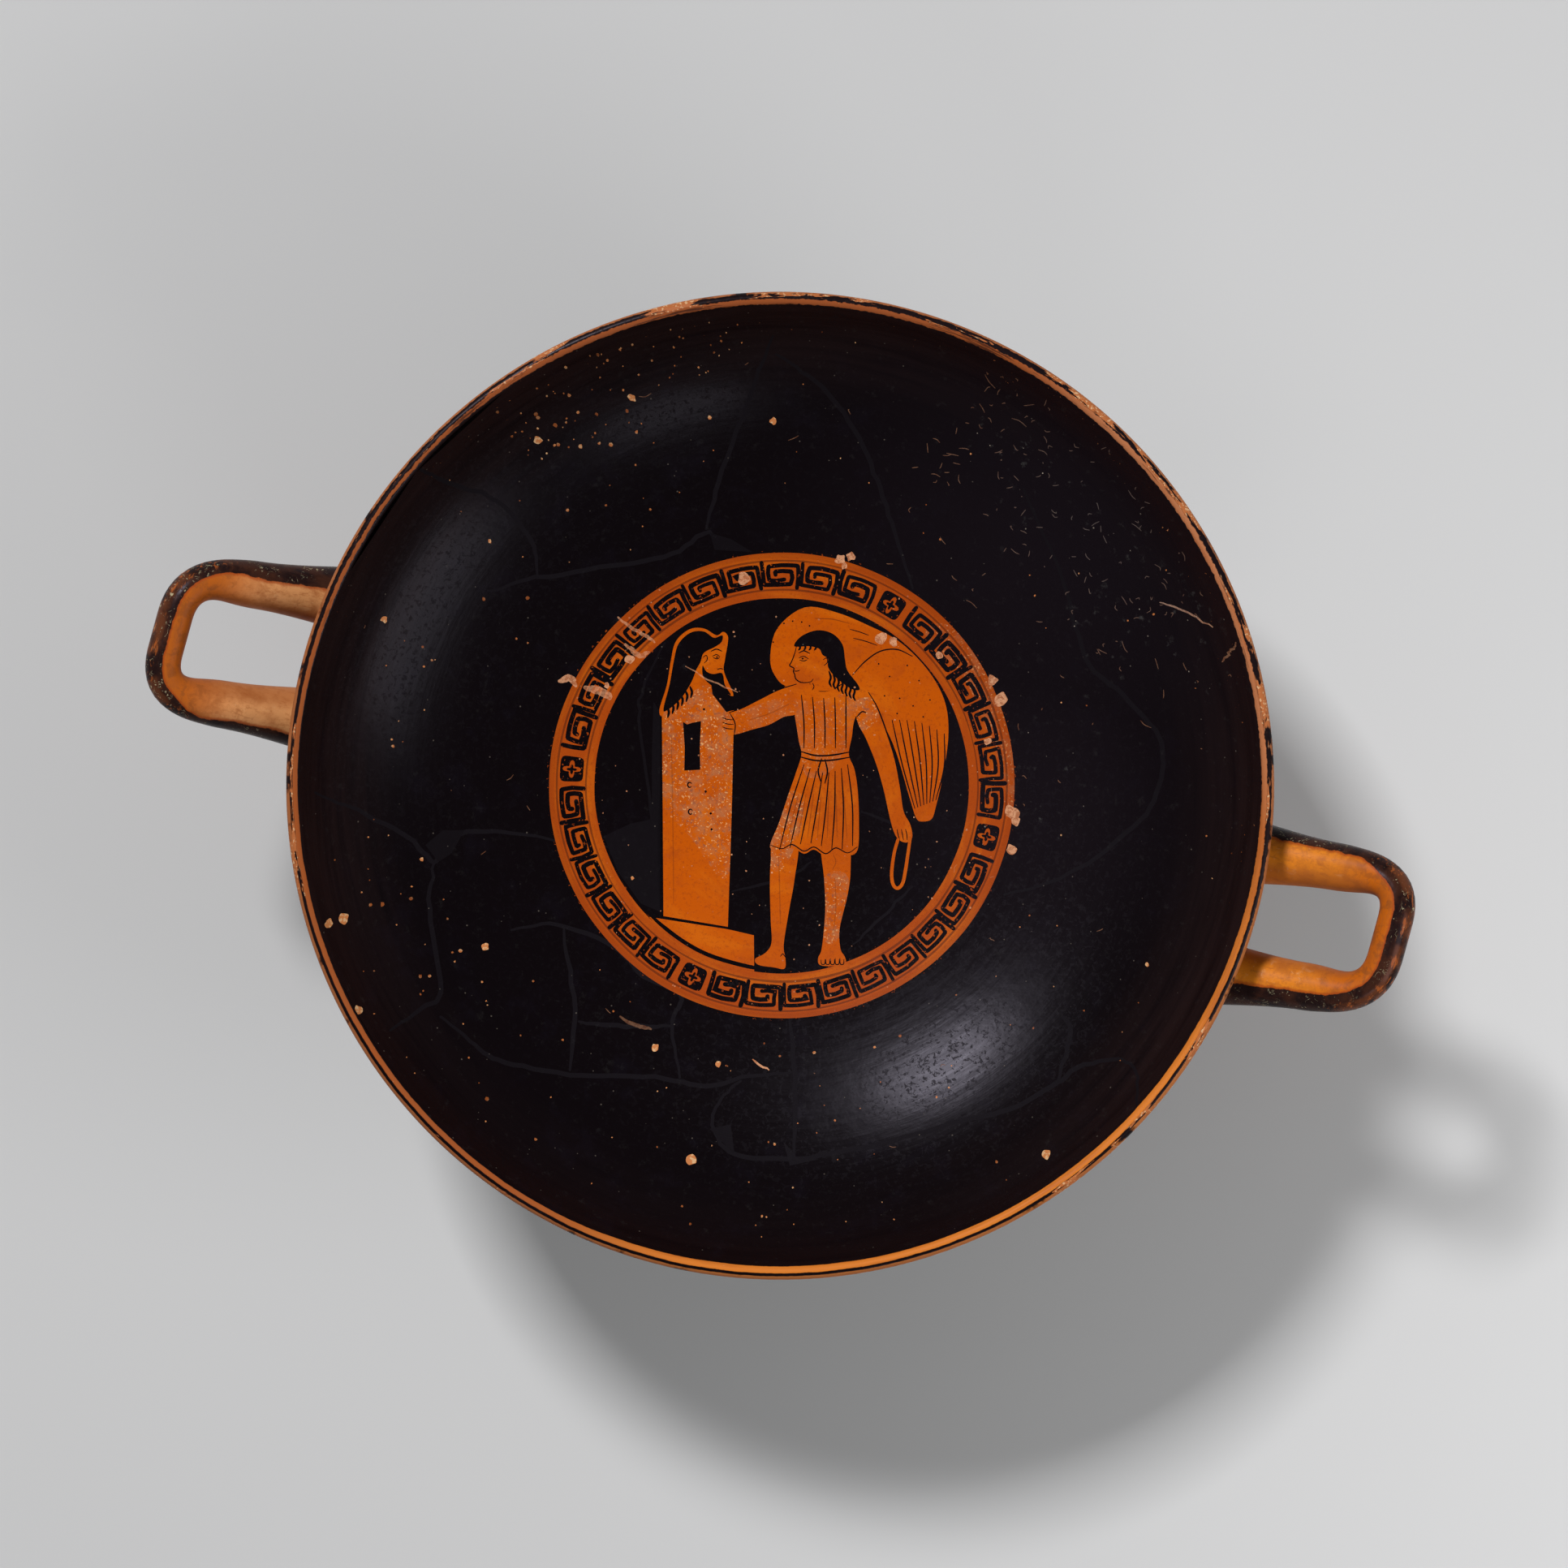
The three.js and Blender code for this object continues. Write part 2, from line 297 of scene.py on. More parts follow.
def stroke(points, width, layer="reserved", amount=0.0, smooth=True, place=picture_to_cup, tip=0.6):
    """A brush stroke along a line: everything nearer to it than half its width, which thins towards
    both ends to that share of the full width."""
    line = place(spline(points, False) if smooth else np.array(points, float))
    along = np.linspace(0, 1, len(line))
    thin = tip + (1 - tip) * np.minimum(1, 4 * np.minimum(along, 1 - along))
    half_width = width / 2 * thin
    tangent = np.gradient(line, axis=0)
    tangent /= np.linalg.norm(tangent, axis=1, keepdims=True)
    side = np.stack([-tangent[:, 1], tangent[:, 0]], -1) * half_width[:, None]
    bow = np.linspace(-math.pi / 2, math.pi / 2, 5)[1:-1, None]
    cap_end = line[-1] + np.cos(bow) * tangent[-1] * half_width[-1] + np.sin(bow) * side[-1] * -1
    cap_start = line[0] - np.cos(bow) * tangent[0] * half_width[0] + np.sin(bow) * side[0]
    outline = np.concatenate([line + side, cap_end, (line - side)[::-1], cap_start])
    start, step = line[:-1], np.diff(line, axis=0)
    length2 = np.sum(step**2, axis=1)

    def covers(points):
        """True where a point is nearer to the line than half its width there."""
        to_point = points[:, None] - start
        share = np.clip(np.sum(to_point * step, -1) / length2, 0, 1)
        gap = np.linalg.norm(to_point - share[..., None] * step, axis=-1)
        wide = half_width[:-1] + (half_width[1:] - half_width[:-1]) * share
        return np.any(gap < wide, axis=1)

    paint(layer, amount, [outline], covers)


def band(inner, outer, layer, amount, wobble=0.12):
    """A ring between two radii, each drawn by a hand that strays by a few slow waves."""
    angle = np.linspace(0, 2 * math.pi, 300, endpoint=False)

    def stray(seed):
        """A function that gives how far the hand strays at a bearing: a sum of six sine waves."""
        waves = np.random.default_rng(seed)
        phase = waves.uniform(0, 2 * math.pi, 6)
        turns = np.array([2, 3, 5, 9, 16, 29])
        size = wobble * np.array([1, 0.8, 0.6, 0.45, 0.3, 0.2]) / 2
        return lambda a: np.sum(size * np.sin(np.multiply.outer(a, turns) + phase), axis=-1)

    seeds = hand.integers(1, 10**6, 2)
    edge_in, edge_out = stray(seeds[0]), stray(seeds[1])

    def ring(radius, edge):
        """A round outline of a radius, with the hand's straying added."""
        r = radius + edge(angle)
        return np.stack([r * np.cos(angle), r * np.sin(angle)], -1)

    def covers(points):
        """True where a point's distance from the middle lies between the two edges."""
        a = np.arctan2(points[:, 1], points[:, 0])
        r = np.hypot(points[:, 0], points[:, 1])
        return (r > inner + edge_in(a)) & (r < outer + edge_out(a))

    paint(layer, amount, [ring(inner, edge_in), ring(outer, edge_out)], covers)


# The border: a reserved ring with two hairlines of thinned glaze, and between them runs of meanders
# with a cross-square at the end of each run.
RING = (44.6, 55.3)
HAIRLINES = (46.6, 53.5)
HAIRLINE = 0.46
MEANDER_ZONE = (47.8, 52.4)  # the middles of a meander's lowest and highest strokes
MEANDER_STROKE = 1.04
CROSS_SQUARES = (74.2, 190.8, 260.3, 361.3)  # bearings of the cross-squares
MEANDERS_BETWEEN = (10, 6, 9, 6)
UPPER_HOOK = [
    (0.03, -0.14), (0.03, 0.45), (0.05, 0.98), (0.42, 1), (0.76, 0.95), (0.78, 0.6), (0.76, 0.26),
    (0.58, 0.22), (0.4, 0.27),
]
LOWER_HOOK = [
    (0.93, 1.14), (0.93, 0.6), (0.91, 0.02), (0.55, 0), (0.2, 0.03), (0.18, 0.36), (0.2, 0.69),
    (0.42, 0.71), (0.6, 0.67), (0.6, 0.52),
]


def corners_kept(points):
    """Adds a point a little before and after each inner point, so that a curve through them turns
    quickly there and runs straight between."""
    p = np.array(points, float)
    before = p[1:-1] + 0.1 * (p[:-2] - p[1:-1])
    after = p[1:-1] + 0.1 * (p[2:] - p[1:-1])
    middle = np.stack([before, after], 1).reshape(-1, 2)
    return np.concatenate([p[:1], middle, p[-1:]])


def on_border(start, span):
    """A function that lays (share of the cell, share of the zone's width) on the border, from a bearing
    in degrees and over a span of them."""

    def place(points):
        """Shares of the cell and of the zone, as x and y of the cup."""
        bearing = np.radians(start + span * points[..., 0])
        radius = MEANDER_ZONE[0] + (MEANDER_ZONE[1] - MEANDER_ZONE[0]) * points[..., 1]
        return np.stack([radius * np.cos(bearing), radius * np.sin(bearing)], -1)

    return place


def lobed(middle, radius, lobes, points=28):
    """A closed outline round a middle whose radius swells four times: r = radius + lobes cos 4a."""
    angle = np.linspace(0, 2 * math.pi, points, endpoint=False)
    r = radius + lobes * np.cos(4 * angle)
    return np.stack([middle[0] + r * np.cos(angle), middle[1] + r * np.sin(angle)], -1)


def cross_square(place, stretch):
    """A black square with round corners, a four-armed cross left in it and a black star in the middle.
    stretch is the shape of the cell, its width over the zone's."""

    def cell(points):
        """Places from the square's middle, in shares of the zone's width, as x and y of the cup."""
        return place(np.stack([0.5 + points[..., 0] / stretch, 0.5 + points[..., 1]], -1))

    side = np.linspace(0, 2 * math.pi, 40, endpoint=False)
    square = (np.cos(side) ** 6 + np.sin(side) ** 6) ** (-1 / 6)
    wide = np.stack([0.68 * square * np.cos(side), 0.6 * square * np.sin(side)], -1)
    shape(wide, amount=0.0, smooth=False, place=cell)
    shape(lobed((0, 0), 0.34, 0.14), smooth=False, place=cell)
    shape(lobed((0.02, 0.0), 0.19, 0.085, 20), amount=0.0, smooth=False, place=cell)


band(*RING, "reserved", 1.0)
for hairline in HAIRLINES:
    band(hairline - HAIRLINE / 2, hairline + HAIRLINE / 2, "thinned", 0.62, 0.1)
for index, meanders in enumerate(MEANDERS_BETWEEN):
    first = CROSS_SQUARES[index]
    last = CROSS_SQUARES[(index + 1) % 4]
    span = ((last - first) % 360) / (meanders + 1)
    zone_span = math.degrees((MEANDER_ZONE[1] - MEANDER_ZONE[0]) / MEANDER_ZONE[1])
    cross_square(on_border(first - span / 2, span), span / zone_span)
    for cell in range(meanders):
        place = on_border(first + span * (cell + 0.5), span)
        for hook in (UPPER_HOOK, LOWER_HOOK):
            drift = hand.normal(0, 0.012, (len(hook), 2))
            width = MEANDER_STROKE * hand.uniform(0.85, 1.15)
            stroke(corners_kept(np.array(hook) + drift), width, place=place, tip=0.95)

# The picture: a winged figure in a belted tunic who holds a ribbon and lays a hand on a pillar with a
# bearded head. Places are to the right of and above the picture's middle.
LINE = 0.34
FINE = 0.24


def line(points, width=LINE, **how):
    """A relief line: a thin stroke of the blackest glaze, drawn inside a shape."""
    stroke(points, width, **how)


def wash(points, width=0.3, strength=0.5):
    """A stroke of thinned glaze, which dries brown."""
    stroke(points, width, layer="thinned", amount=strength)


def dots(places, radius=0.22):
    """Dots of black glaze, as small diamonds."""
    for x, y in places:
        shape([(x - radius, y), (x, y - radius), (x + radius, y), (x, y + radius)], amount=0.0)


# the wing, behind the figure
shape([
    (2, 23.5), (-1.8, 26.4), (-2.8, 31), (-1, 37.6), (5.4, 42.4), (13, 41.2), (20.8, 38), (28, 34.2),
    (34.6, 27.6), (38.6, 20.4), (39.6, 12.6), (38.4, 3), (36.6, -5), (35.6, -7.9), (33.6, -8.5),
    (32, -7.8), (30.4, -3), (26.4, 10), (21, 19), (12, 25),
])
line([(16.8, 26.4), (19.8, 29.6), (23.4, 32), (27.4, 32.4), (31, 30.8)])
for feather in range(8):
    share = feather / 7
    top = (26.2 + 12.4 * share, 15.6 - 3.4 * share + 1.2 * math.sin(3 * share))
    foot = (31.6 + 5.0 * share, -5.4 + 2.0 * share)
    bend = ((top[0] + foot[0]) / 2 - 0.3 + 1.3 * share, (top[1] + foot[1]) / 2)
    line([top, bend, foot])
dots([(3.0 + 2.6 * math.cos(a) * 2, 35.0 + 2.6 * math.sin(a) * 1.6) for a in np.arange(0.4, 3.4, 0.42)])
dots([
    (23, 29), (25.6, 26), (29.8, 28.6), (32.6, 25), (24.4, 21.4), (28, 20.8), (31.2, 19), (35.2, 20.4),
    (27.4, 17.2), (33.6, 16.4),
])
line([(16.2, 37.2), (18.4, 36.6), (20.6, 35.8)], FINE)
line([(17, 35.1), (19.8, 34.4), (22.6, 33.4)], FINE)
wash([(8, 39.8), (12, 39.6), (16, 38.6)], 0.26)

# the pillar and the step that it stands on
shape([
    (-28.6, 16.8), (-28.2, -31), (-12.8, -33.6), (-11.5, 12.2), (-12.7, 16.8), (-16.6, 21.8), (-17.2, 27),
    (-22.4, 27.6), (-24, 23),
], smooth=False)
shape([
    (-31.6, -31.2), (-12.6, -34.2), (-6.7, -35.6), (-6.6, -44.6), (-20, -41.6), (-28, -35.6),
], smooth=False)
line([(-31.6, -31), (-22, -32.4), (-12.8, -34), (-6.6, -35.5)], 0.4)
stroke([
    (-32.6, -29.4), (-28.6, -33.2), (-22.6, -37.6), (-16, -40.8), (-6, -43.4), (2, -43.8),
], 1.0, tip=0.5)
line([(-11.5, 12.2), (-11.9, -8), (-12.8, -33.6)], 0.3)
shape([
    (-23.6, 15.2), (-22.6, 14.6), (-21.4, 15), (-19.3, 15.4), (-19.6, 9), (-19.5, 3.8), (-23.3, 3.6),
    (-23.2, 9),
], amount=0.0, smooth=False)
dots([(-18.2, -1.4), (-17, -6.6), (-16.8, -10.4), (-18.6, 18.2)], 0.3)
for x, y in ((-22, 0.2), (-21.8, -6.2)):
    line([(x + 0.5 * math.cos(a), y + 0.6 * math.sin(a)) for a in np.arange(0.6, 6, 0.7)])
wash([(-26.4, 12), (-26, -8), (-25.8, -28)], 0.3, 0.3)

# the pillar's bearded head, turned to the right
shape([
    (-15.6, 35.8), (-14, 36.6), (-12.9, 35.6), (-13, 33.4), (-13.6, 30), (-13.8, 27), (-11.6, 21.4),
    (-15.6, 23.6), (-19.4, 25.4), (-24, 20.4), (-28, 16.6), (-29.2, 18), (-27.4, 24), (-26.4, 30),
    (-25.2, 34.4), (-22, 37.2), (-18.6, 37.4),
])
shape([
    (-16.2, 35.2), (-14.2, 35.8), (-14.4, 34.2), (-16, 33), (-18.6, 31.6), (-19.4, 29.4), (-20.4, 27.6),
    (-21.6, 24.6), (-24.2, 20.6), (-27.6, 17.8), (-28.2, 18.6), (-26.8, 24), (-25.7, 30), (-24.6, 33.8),
    (-21.8, 36.4), (-18.6, 36.7),
], amount=0.0)
shape([
    (-18.9, 28.6), (-18, 27.2), (-16.4, 26.6), (-14.6, 26.9), (-14, 26.2), (-13.6, 24), (-12.2, 21.6),
    (-14.6, 22.8), (-17, 24), (-18.8, 26),
], amount=0.0)
for lock in range(6):
    x, y = -27.2 + 1.1 * lock, 17.2 + 0.95 * lock
    stroke([(x - 0.2, y + 1.6), (x + 0.25, y + 0.4), (x, y - 0.9)], 0.62)
line([(-16.9, 32), (-15.6, 32.5), (-14.3, 32)], 0.3)
line([(-16.6, 30.8), (-15.6, 31.2), (-14.8, 30.7)], FINE)
line([(-16.4, 30.5), (-15.5, 30.2), (-14.9, 30.5)], FINE)
dots([(-15.5, 30.6)], 0.24)
line([(-15.4, 27.7), (-14.6, 27.9), (-14, 27.7)], FINE)
line([(-18.8, 30.6), (-18, 31), (-17.8, 30), (-18.5, 29.2)], FINE)

# the figure: legs below the tunic
shape([
    (-2, -13.6), (-2.7, -18), (-2.9, -24), (-2.7, -32), (-2.5, -37.4), (-4, -39.8), (-6.4, -41.2),
    (-5.6, -42.6), (-2, -43.2), (0.6, -43.5), (0.8, -41), (0.4, -37.8), (1.6, -30), (3, -22),
    (3.6, -13.6),
])
shape([
    (9.6, -13.6), (10, -22), (10.3, -29), (9.8, -36), (9.3, -39.4), (8.6, -41), (9, -42.6), (12, -42.9),
    (15, -42.2), (14.9, -40.6), (13.9, -38.8), (13.7, -34), (15.6, -26), (16.3, -20), (15.6, -13.6),
])
for toe in range(5):
    x = 9.3 + 1.12 * toe
    line([(x, -41.4 + 0.1 * toe), (x + 0.1, -42.4), (x + 0.85, -42.4), (x + 0.95, -41.3)], FINE)
line([(-0.4, -40.6), (0.2, -40), (0.8, -40.8)], FINE)
wash([(-0.8, -17), (-0.6, -24), (-0.4, -33)], 0.26, 0.35)
wash([(12.2, -16.4), (12.8, -18.2), (12, -20)], 0.26, 0.4)
wash([(12.6, -22), (12.8, -29), (12.2, -35)], 0.26, 0.35)

# the tunic
shape([
    (1.4, 23.6), (2.6, 19), (3.2, 15.6), (4, 10.6), (4.6, 7.4), (3.4, 3.4), (1.4, -2.4), (-0.8, -9),
    (-2.9, -14.6), (0, -15.6), (2.4, -14.6), (5.2, -16.2), (7.6, -15.2), (10.4, -16.8), (12.8, -15.4),
    (15.6, -16.6), (18, -15.2), (18.3, -8), (18, -1), (17.2, 4), (15.9, 7.4), (16.6, 11.6), (17.4, 16.2),
    (20.4, 21.6), (16.6, 23.9), (11.6, 25), (6.4, 24.4),
])
# the arm that reaches to the pillar, and the one that hangs with the ribbon
shape([
    (3, 24.1), (-1, 22.7), (-5.6, 20.4), (-9.6, 18.4), (-13, 17.6), (-14.4, 16.2), (-14.2, 14),
    (-12.6, 12.6), (-11.2, 12.2), (-7.4, 13.3), (-3.2, 14.5), (0.4, 16.4), (3.6, 17.6),
])
shape([
    (17, 23.8), (20.6, 22.2), (22.6, 18.6), (24.8, 12.8), (26.8, 6.4), (28, 0.2), (28.9, -6),
    (30.5, -9.2), (31, -12.2), (29.8, -13.5), (28, -13), (26.8, -11.4), (25.7, -7.8), (24.2, -1),
    (22.4, 5.2), (20, 11.2), (17.8, 15.8),
])
line([(20.6, 22.2), (22.7, 18.6), (24.9, 12.8), (26.9, 6.4), (28.1, 0.2), (29, -6)], 0.36)
line([(17.8, 16.4), (19, 17.6), (20, 17.4)])
line([(-12.6, 17.4), (-9.6, 18.5), (-5.6, 20.5), (-1, 22.8), (3.4, 24.2)], 0.34)
line([(-11.4, 12.1), (-11.2, 14.8), (-12.4, 17.2)], 0.3)
for finger in range(3):
    y = 13.5 + 1.1 * finger
    line([(-11.6, y), (-13.0, y + 0.1), (-14.2, y + 0.5)], FINE)
    line([(27.4 + finger, -10.4), (27.6 + 1.05 * finger, -11.6), (28 + 0.9 * finger, -12.9)], FINE)
wash([(-8, 15.6), (-3, 17.2), (1.6, 19.4)], 0.26, 0.35)
# the ribbon
stroke([
    (27.6, -12.8), (26.7, -16), (26.1, -20.6), (26.4, -23.4), (27.5, -24.4), (28.7, -23.2), (29.4, -20),
    (30, -16), (30.5, -12.6),
], 0.8, amount=1.0, tip=0.9)

# folds, belt and neck of the tunic
line([(6.6, 24.3), (9, 22.6), (12, 23), (14.6, 24.4)])
for fold in range(5):
    share = fold / 4
    x = 5.2 + 10 * share
    line([(4.6 + 10.6 * share, 21.6 - 0.8 * math.sin(3 * share)), (x, 15), (x, 9)])
line([(4.3, 8.2), (8, 7.2), (12, 7.3), (16, 8)], 0.42)
line([(4.2, 6.9), (8, 6), (12, 6.1), (16.2, 6.8)], 0.42)
line([(9.4, 6.4), (8.6, 3.6), (9.2, 1)], 0.4)
line([(10.2, 6.3), (10.8, 3.4), (10.2, 0.6)], 0.4)
for fold in range(8):
    share = fold / 7
    top = (5.2 + 10.4 * share, 5.0 - 2.0 * math.sin(math.pi * share))
    hem = (-0.6 + 17.4 * share, -14.4 - 0.8 * math.cos(8 * share))
    bend = ((top[0] + hem[0]) / 2 + 0.9 * (share - 0.4), (top[1] + hem[1]) / 2)
    line([top, bend, hem])
for fold in range(7):
    share = (fold + 0.5) / 7
    wash([(3.0 + 12.6 * share, -2.0), (0.2 + 16.4 * share, -12.4)], 0.24, 0.4)
line([
    (-2.7, -14.2), (0, -15), (2.4, -14), (5.2, -15.6), (7.6, -14.6), (10.4, -16.2), (12.8, -14.8),
    (15.6, -16), (17.9, -14.6),
], 0.3)

# the figure's head, turned to the left: face, then hair
shape([
    (3.5, 34), (3.2, 31.9), (2.4, 29.6), (1.9, 28.6), (2.9, 28), (2.8, 27.2), (3.1, 26.5), (3.4, 25.4),
    (4.6, 24.7), (6.6, 24.6), (7.2, 22.8), (12.4, 23), (13, 27), (13.4, 31), (11, 34.6), (7, 35.4),
])
line([
    (3.5, 33.6), (3.1, 31.8), (2.3, 29.6), (1.8, 28.6), (2.8, 28), (2.7, 27.2), (3, 26.5), (3.3, 25.4),
    (4.6, 24.6), (6.7, 24.7), (7.4, 25.4),
], 0.3)
shape([
    (2.9, 33.2), (4.6, 35.6), (8.4, 37), (12, 36.2), (14.4, 33.6), (15, 30), (15.6, 27.4), (18, 24.2),
    (18.4, 22.8), (16.6, 23), (14.2, 24.6), (12, 26.6), (10.9, 28.4), (10.9, 30.2), (9.6, 31.2),
    (8.8, 32.6), (6.4, 33.2),
], amount=0.0)
for lock in range(7):
    x, y = 11.2 + 0.95 * lock, 25.8 - 0.55 * lock
    stroke([(x, y + 1.4), (x + 0.4, y), (x + 0.1, y - 1.2), (x + 0.5, y - 2.2)], 0.55)
for lock in range(4):
    x = 4.2 + 1.25 * lock
    stroke([(x, 33.6), (x + 0.1, 32.8), (x - 0.25, 32.3)], 0.5)
line([(4, 31.6), (5.2, 32.1), (6.6, 31.5)], 0.3)
line([(4, 30.4), (5.1, 30.8), (6.3, 30.2)], FINE)
line([(4.2, 29.9), (5.2, 29.7), (6, 30)], FINE)
dots([(4.9, 30.25)], 0.26)
line([(2.8, 27.3), (3.6, 27.3), (4.2, 27.5)], FINE)
line([(9.8, 30), (10.6, 30.4), (10.8, 29.4), (10, 28.6)], FINE)
line([(7.3, 24.4), (7.6, 23.6), (7.2, 22.8)], FINE)

# ---------------------------------------------------------------------------------------------------
# Age: the cup was broken and mended, so filled joins run across the glaze as dull lines, and lime
# crusts, lost patches, pits and scratches lie over the painting. They are cut into the same face.


def seam(points, width=1.1, layer="mended", amount=0.8):
    """An uneven line along a join: a stroke through points that stray a little to either side."""
    route = spline(points, False, 6)
    route = route + hand.normal(0, 0.14, route.shape)
    stroke(route, width, layer=layer, amount=amount, smooth=False, tip=0.5)


def blot(x, y, radius, layer="crusted", amount=1.0, points=9):
    """A patch with a ragged round edge: r = radius times 0.7 to 1.25, drawn anew at each step."""
    angle = np.arange(points) * (2 * math.pi / points)
    r = radius * hand.uniform(0.7, 1.25, points)
    outline = np.stack([x + r * np.cos(angle), y + r * np.sin(angle)], -1)
    shape(outline, layer=layer, amount=amount, smooth=radius > 0.7)


# the joins between the sherds
for join in (
    [(-2, 105), (-8, 90), (-15, 72), (-18, 61)],
    [(-1, 101), (8, 95), (16, 86), (22, 74), (26, 62), (31, 47)],
    [(-14, 57), (-18, 60), (-26, 55), (-40, 52), (-58, 49), (-69, 46)],
    [(-87, 75), (-78, 71), (-67, 67), (-59, 58), (-58, 50)],
    [(-108, -2), (-99, -6), (-88, -12), (-82, -18), (-78, -12), (-66, -11), (-54, -13)],
    [(-82, -18), (-83, -29), (-80, -48), (-84, -52), (-91, -57)],
    [(-80, -54), (-72, -61), (-65, -65), (-50, -68), (-30, -69), (-18, -71), (-8, -69), (2, -68)],
    [(-64, -34), (-53, -33), (-40, -38), (-33, -45), (-24, -50), (-26, -56), (-24, -69)],
    [(-52, -34), (-49, -53), (-50, -67)],
    [(-48, -56), (-37, -57), (-26, -57)],
    [(2, -55), (3, -69), (3, -88)],
    [
        (-10, -70), (-15, -75), (-16, -81), (-11, -87), (3, -88), (16, -86), (29, -83), (42, -79),
        (54, -76), (65, -70), (70, -66), (79, -64), (83, -67), (83, -74),
    ],
    [(66, -54), (68, -58), (65, -70)],
    [
        (57, 70), (66, 50), (72, 30), (79, 23), (88, 13), (90, 5), (87, -5), (78, -14), (66, -22),
        (53, -26),
    ],
    [(-28, 34), (-33, 23), (-34, 14), (-31, -8), (-33, -16), (-44, -14)],
    [(7, -18), (1, -22), (-12, -25)],
    [(19, -6), (31, -11)],
    [(31, -24), (25, -30), (17, -38)],
):
    if min(math.hypot(*point) for point in join) < RING[0]:
        seam(join, 0.7, amount=0.5)
    else:
        seam(join)
# fills of the restorer's dull black
for fill in (
    [(-17, 60), (-12, 58.5), (-7, 55.5), (-16, 56)],
    [(-81, -18), (-84, -14), (-80, -10.5), (-75, -10.5), (-78, -16)],
    [(4, -88), (0.5, -84), (2, -89.5), (9, -88)],
    [
        (-30.6, 20), (-29, 17.5), (-29, -30), (-33.6, -28), (-39, -20.5), (-42.4, -12), (-36, -9),
        (-31, -8), (-31, 8),
    ],
    [(-17, -81), (-11, -87), (-12, -80)],
):
    shape(fill, layer="mended", amount=0.45, smooth=False)

# clay whose skin has weathered to a rough pinkish grey
for patch in (
    [
        (-28.4, 16.6), (-28.6, -3), (-22, -12), (-12.6, -21.5), (-11.4, 12), (-14, 19), (-18, 24),
        (-24, 20),
    ],
    [(1, -2), (5, -3), (4, -12), (0, -20), (-3, -19), (-2.8, -13)],
    [(10, -22), (15.8, -22), (13.6, -36), (9.8, -36)],
    [(16, 19), (21, 21), (23, 16), (18, 13)],
):
    shape(patch, layer="weathered", amount=1.0)
shape([
    (-12, 17), (-8, 18.4), (0, 21), (8, 20), (17, 22), (16, 12), (12, 4), (6, 2), (4, 9), (2, 15),
    (-6, 13.6), (-12, 12.4),
], layer="weathered", amount=0.5)
shape([
    (34, 36), (43, 26), (48, 15), (52, 4), (54, -6), (55.6, -14), (56, 0), (54, 14), (49, 26), (40, 38),
], layer="weathered", amount=0.55)

# lumps of lime, and its thin smears
for x, y, radius in (
    (13.8, 53.8, 1.2), (16.4, 54.4, 1.0), (14.8, 52.2, 0.8), (52.2, 20.4, 1.6), (54.8, -6.4, 1.8),
    (55.6, -8.6, 1.0), (54.6, -15.0, 1.2), (-9.2, 49.0, 1.5), (50.0, 25.2, 1.2), (-41.6, 23.8, 0.7),
    (37.6, 31.0, 0.9), (-36.2, 30.0, 1.0), (49.0, 10.6, 0.9), (23.6, 35.2, 1.3), (26.4, 34.2, 1.0),
):
    blot(x, y, radius, "crusted", 0.9)
seam([(-52.6, 24.6), (-50.4, 25.6), (-49, 24)], 1.6, "crusted", 0.8)
seam([(-46.6, 23.4), (-43, 22.4), (-40.6, 20.8)], 1.9, "crusted", 0.55)
seam([(-38.8, 39.8), (-33.4, 36), (-30, 34.2)], 0.8, "crusted", 0.55)
seam([(-37, 33.6), (-34.2, 31), (-31.4, 31.8)], 1.2, "crusted", 0.5)
seam([(89, 43), (94, 41), (101, 37)], 0.42, "crusted", 0.62)
seam([(106, 33), (104.6, 31), (103, 29)], 0.6, "crusted", 0.3)
seam([(-38, -55), (-34, -57), (-31, -57.6)], 0.9, "crusted", 0.18)
seam([(-7, -65), (-3, -67.6)], 0.5, "crusted", 0.9)
seam([(-23, 28.4), (-16.4, 24.6), (-10.6, 22.4)], 0.36, "crusted", 0.5)

# lost flecks of glaze, many along the upper left and the lower left, and a few all over
for x, y, radius in (
    (-102, -31, 1.2), (-105, -32, 1.0), (-98, -52, 0.9), (-21, -88, 1.2), (62, -86, 1.2),
    (-15, -66, 0.7), (-30, -62, 0.9), (-70, -38, 0.8), (-2, 86, 0.8), (-57, 81, 0.9),
    (-35, 91, 0.9), (-93, 39, 0.8), (86, -42, 0.5), (22, -62, 0.3), (-35.6, -22, 0.4),
):
    blot(x, y, radius, "lost", 1.0)
SMALLEST_FLECK = 0.16
for bearings, reaches, count, largest in (
    ((112, 128), (92, 109.5), 42, 0.5),
    ((95, 114), (98, 109.5), 34, 0.4),
    ((97, 148), (70, 100), 22, 0.5),
    ((176, 232), (84, 109), 34, 0.6),
    ((158, 176), (84, 96), 9, 0.45),
    ((232, 330), (62, 108), 42, 0.4),
    ((0, 360), (58, 108), 60, 0.3),
):
    for _ in range(count):
        bearing, reach = math.radians(hand.uniform(*bearings)), hand.uniform(*reaches)
        size = SMALLEST_FLECK + (largest - SMALLEST_FLECK) * hand.random() ** 2.5
        blot(reach * math.cos(bearing), reach * math.sin(bearing), size, "lost", hand.uniform(0.4, 1), 6)
# grains of cream-coloured earth in the painted clay
for _ in range(150):
    bearing, reach = hand.uniform(0, 2 * math.pi), 55 * math.sqrt(hand.random())
    size, strength = hand.uniform(0.1, 0.26), hand.uniform(0.3, 0.9)
    blot(reach * math.cos(bearing), reach * math.sin(bearing), size, "crusted", strength, 5)
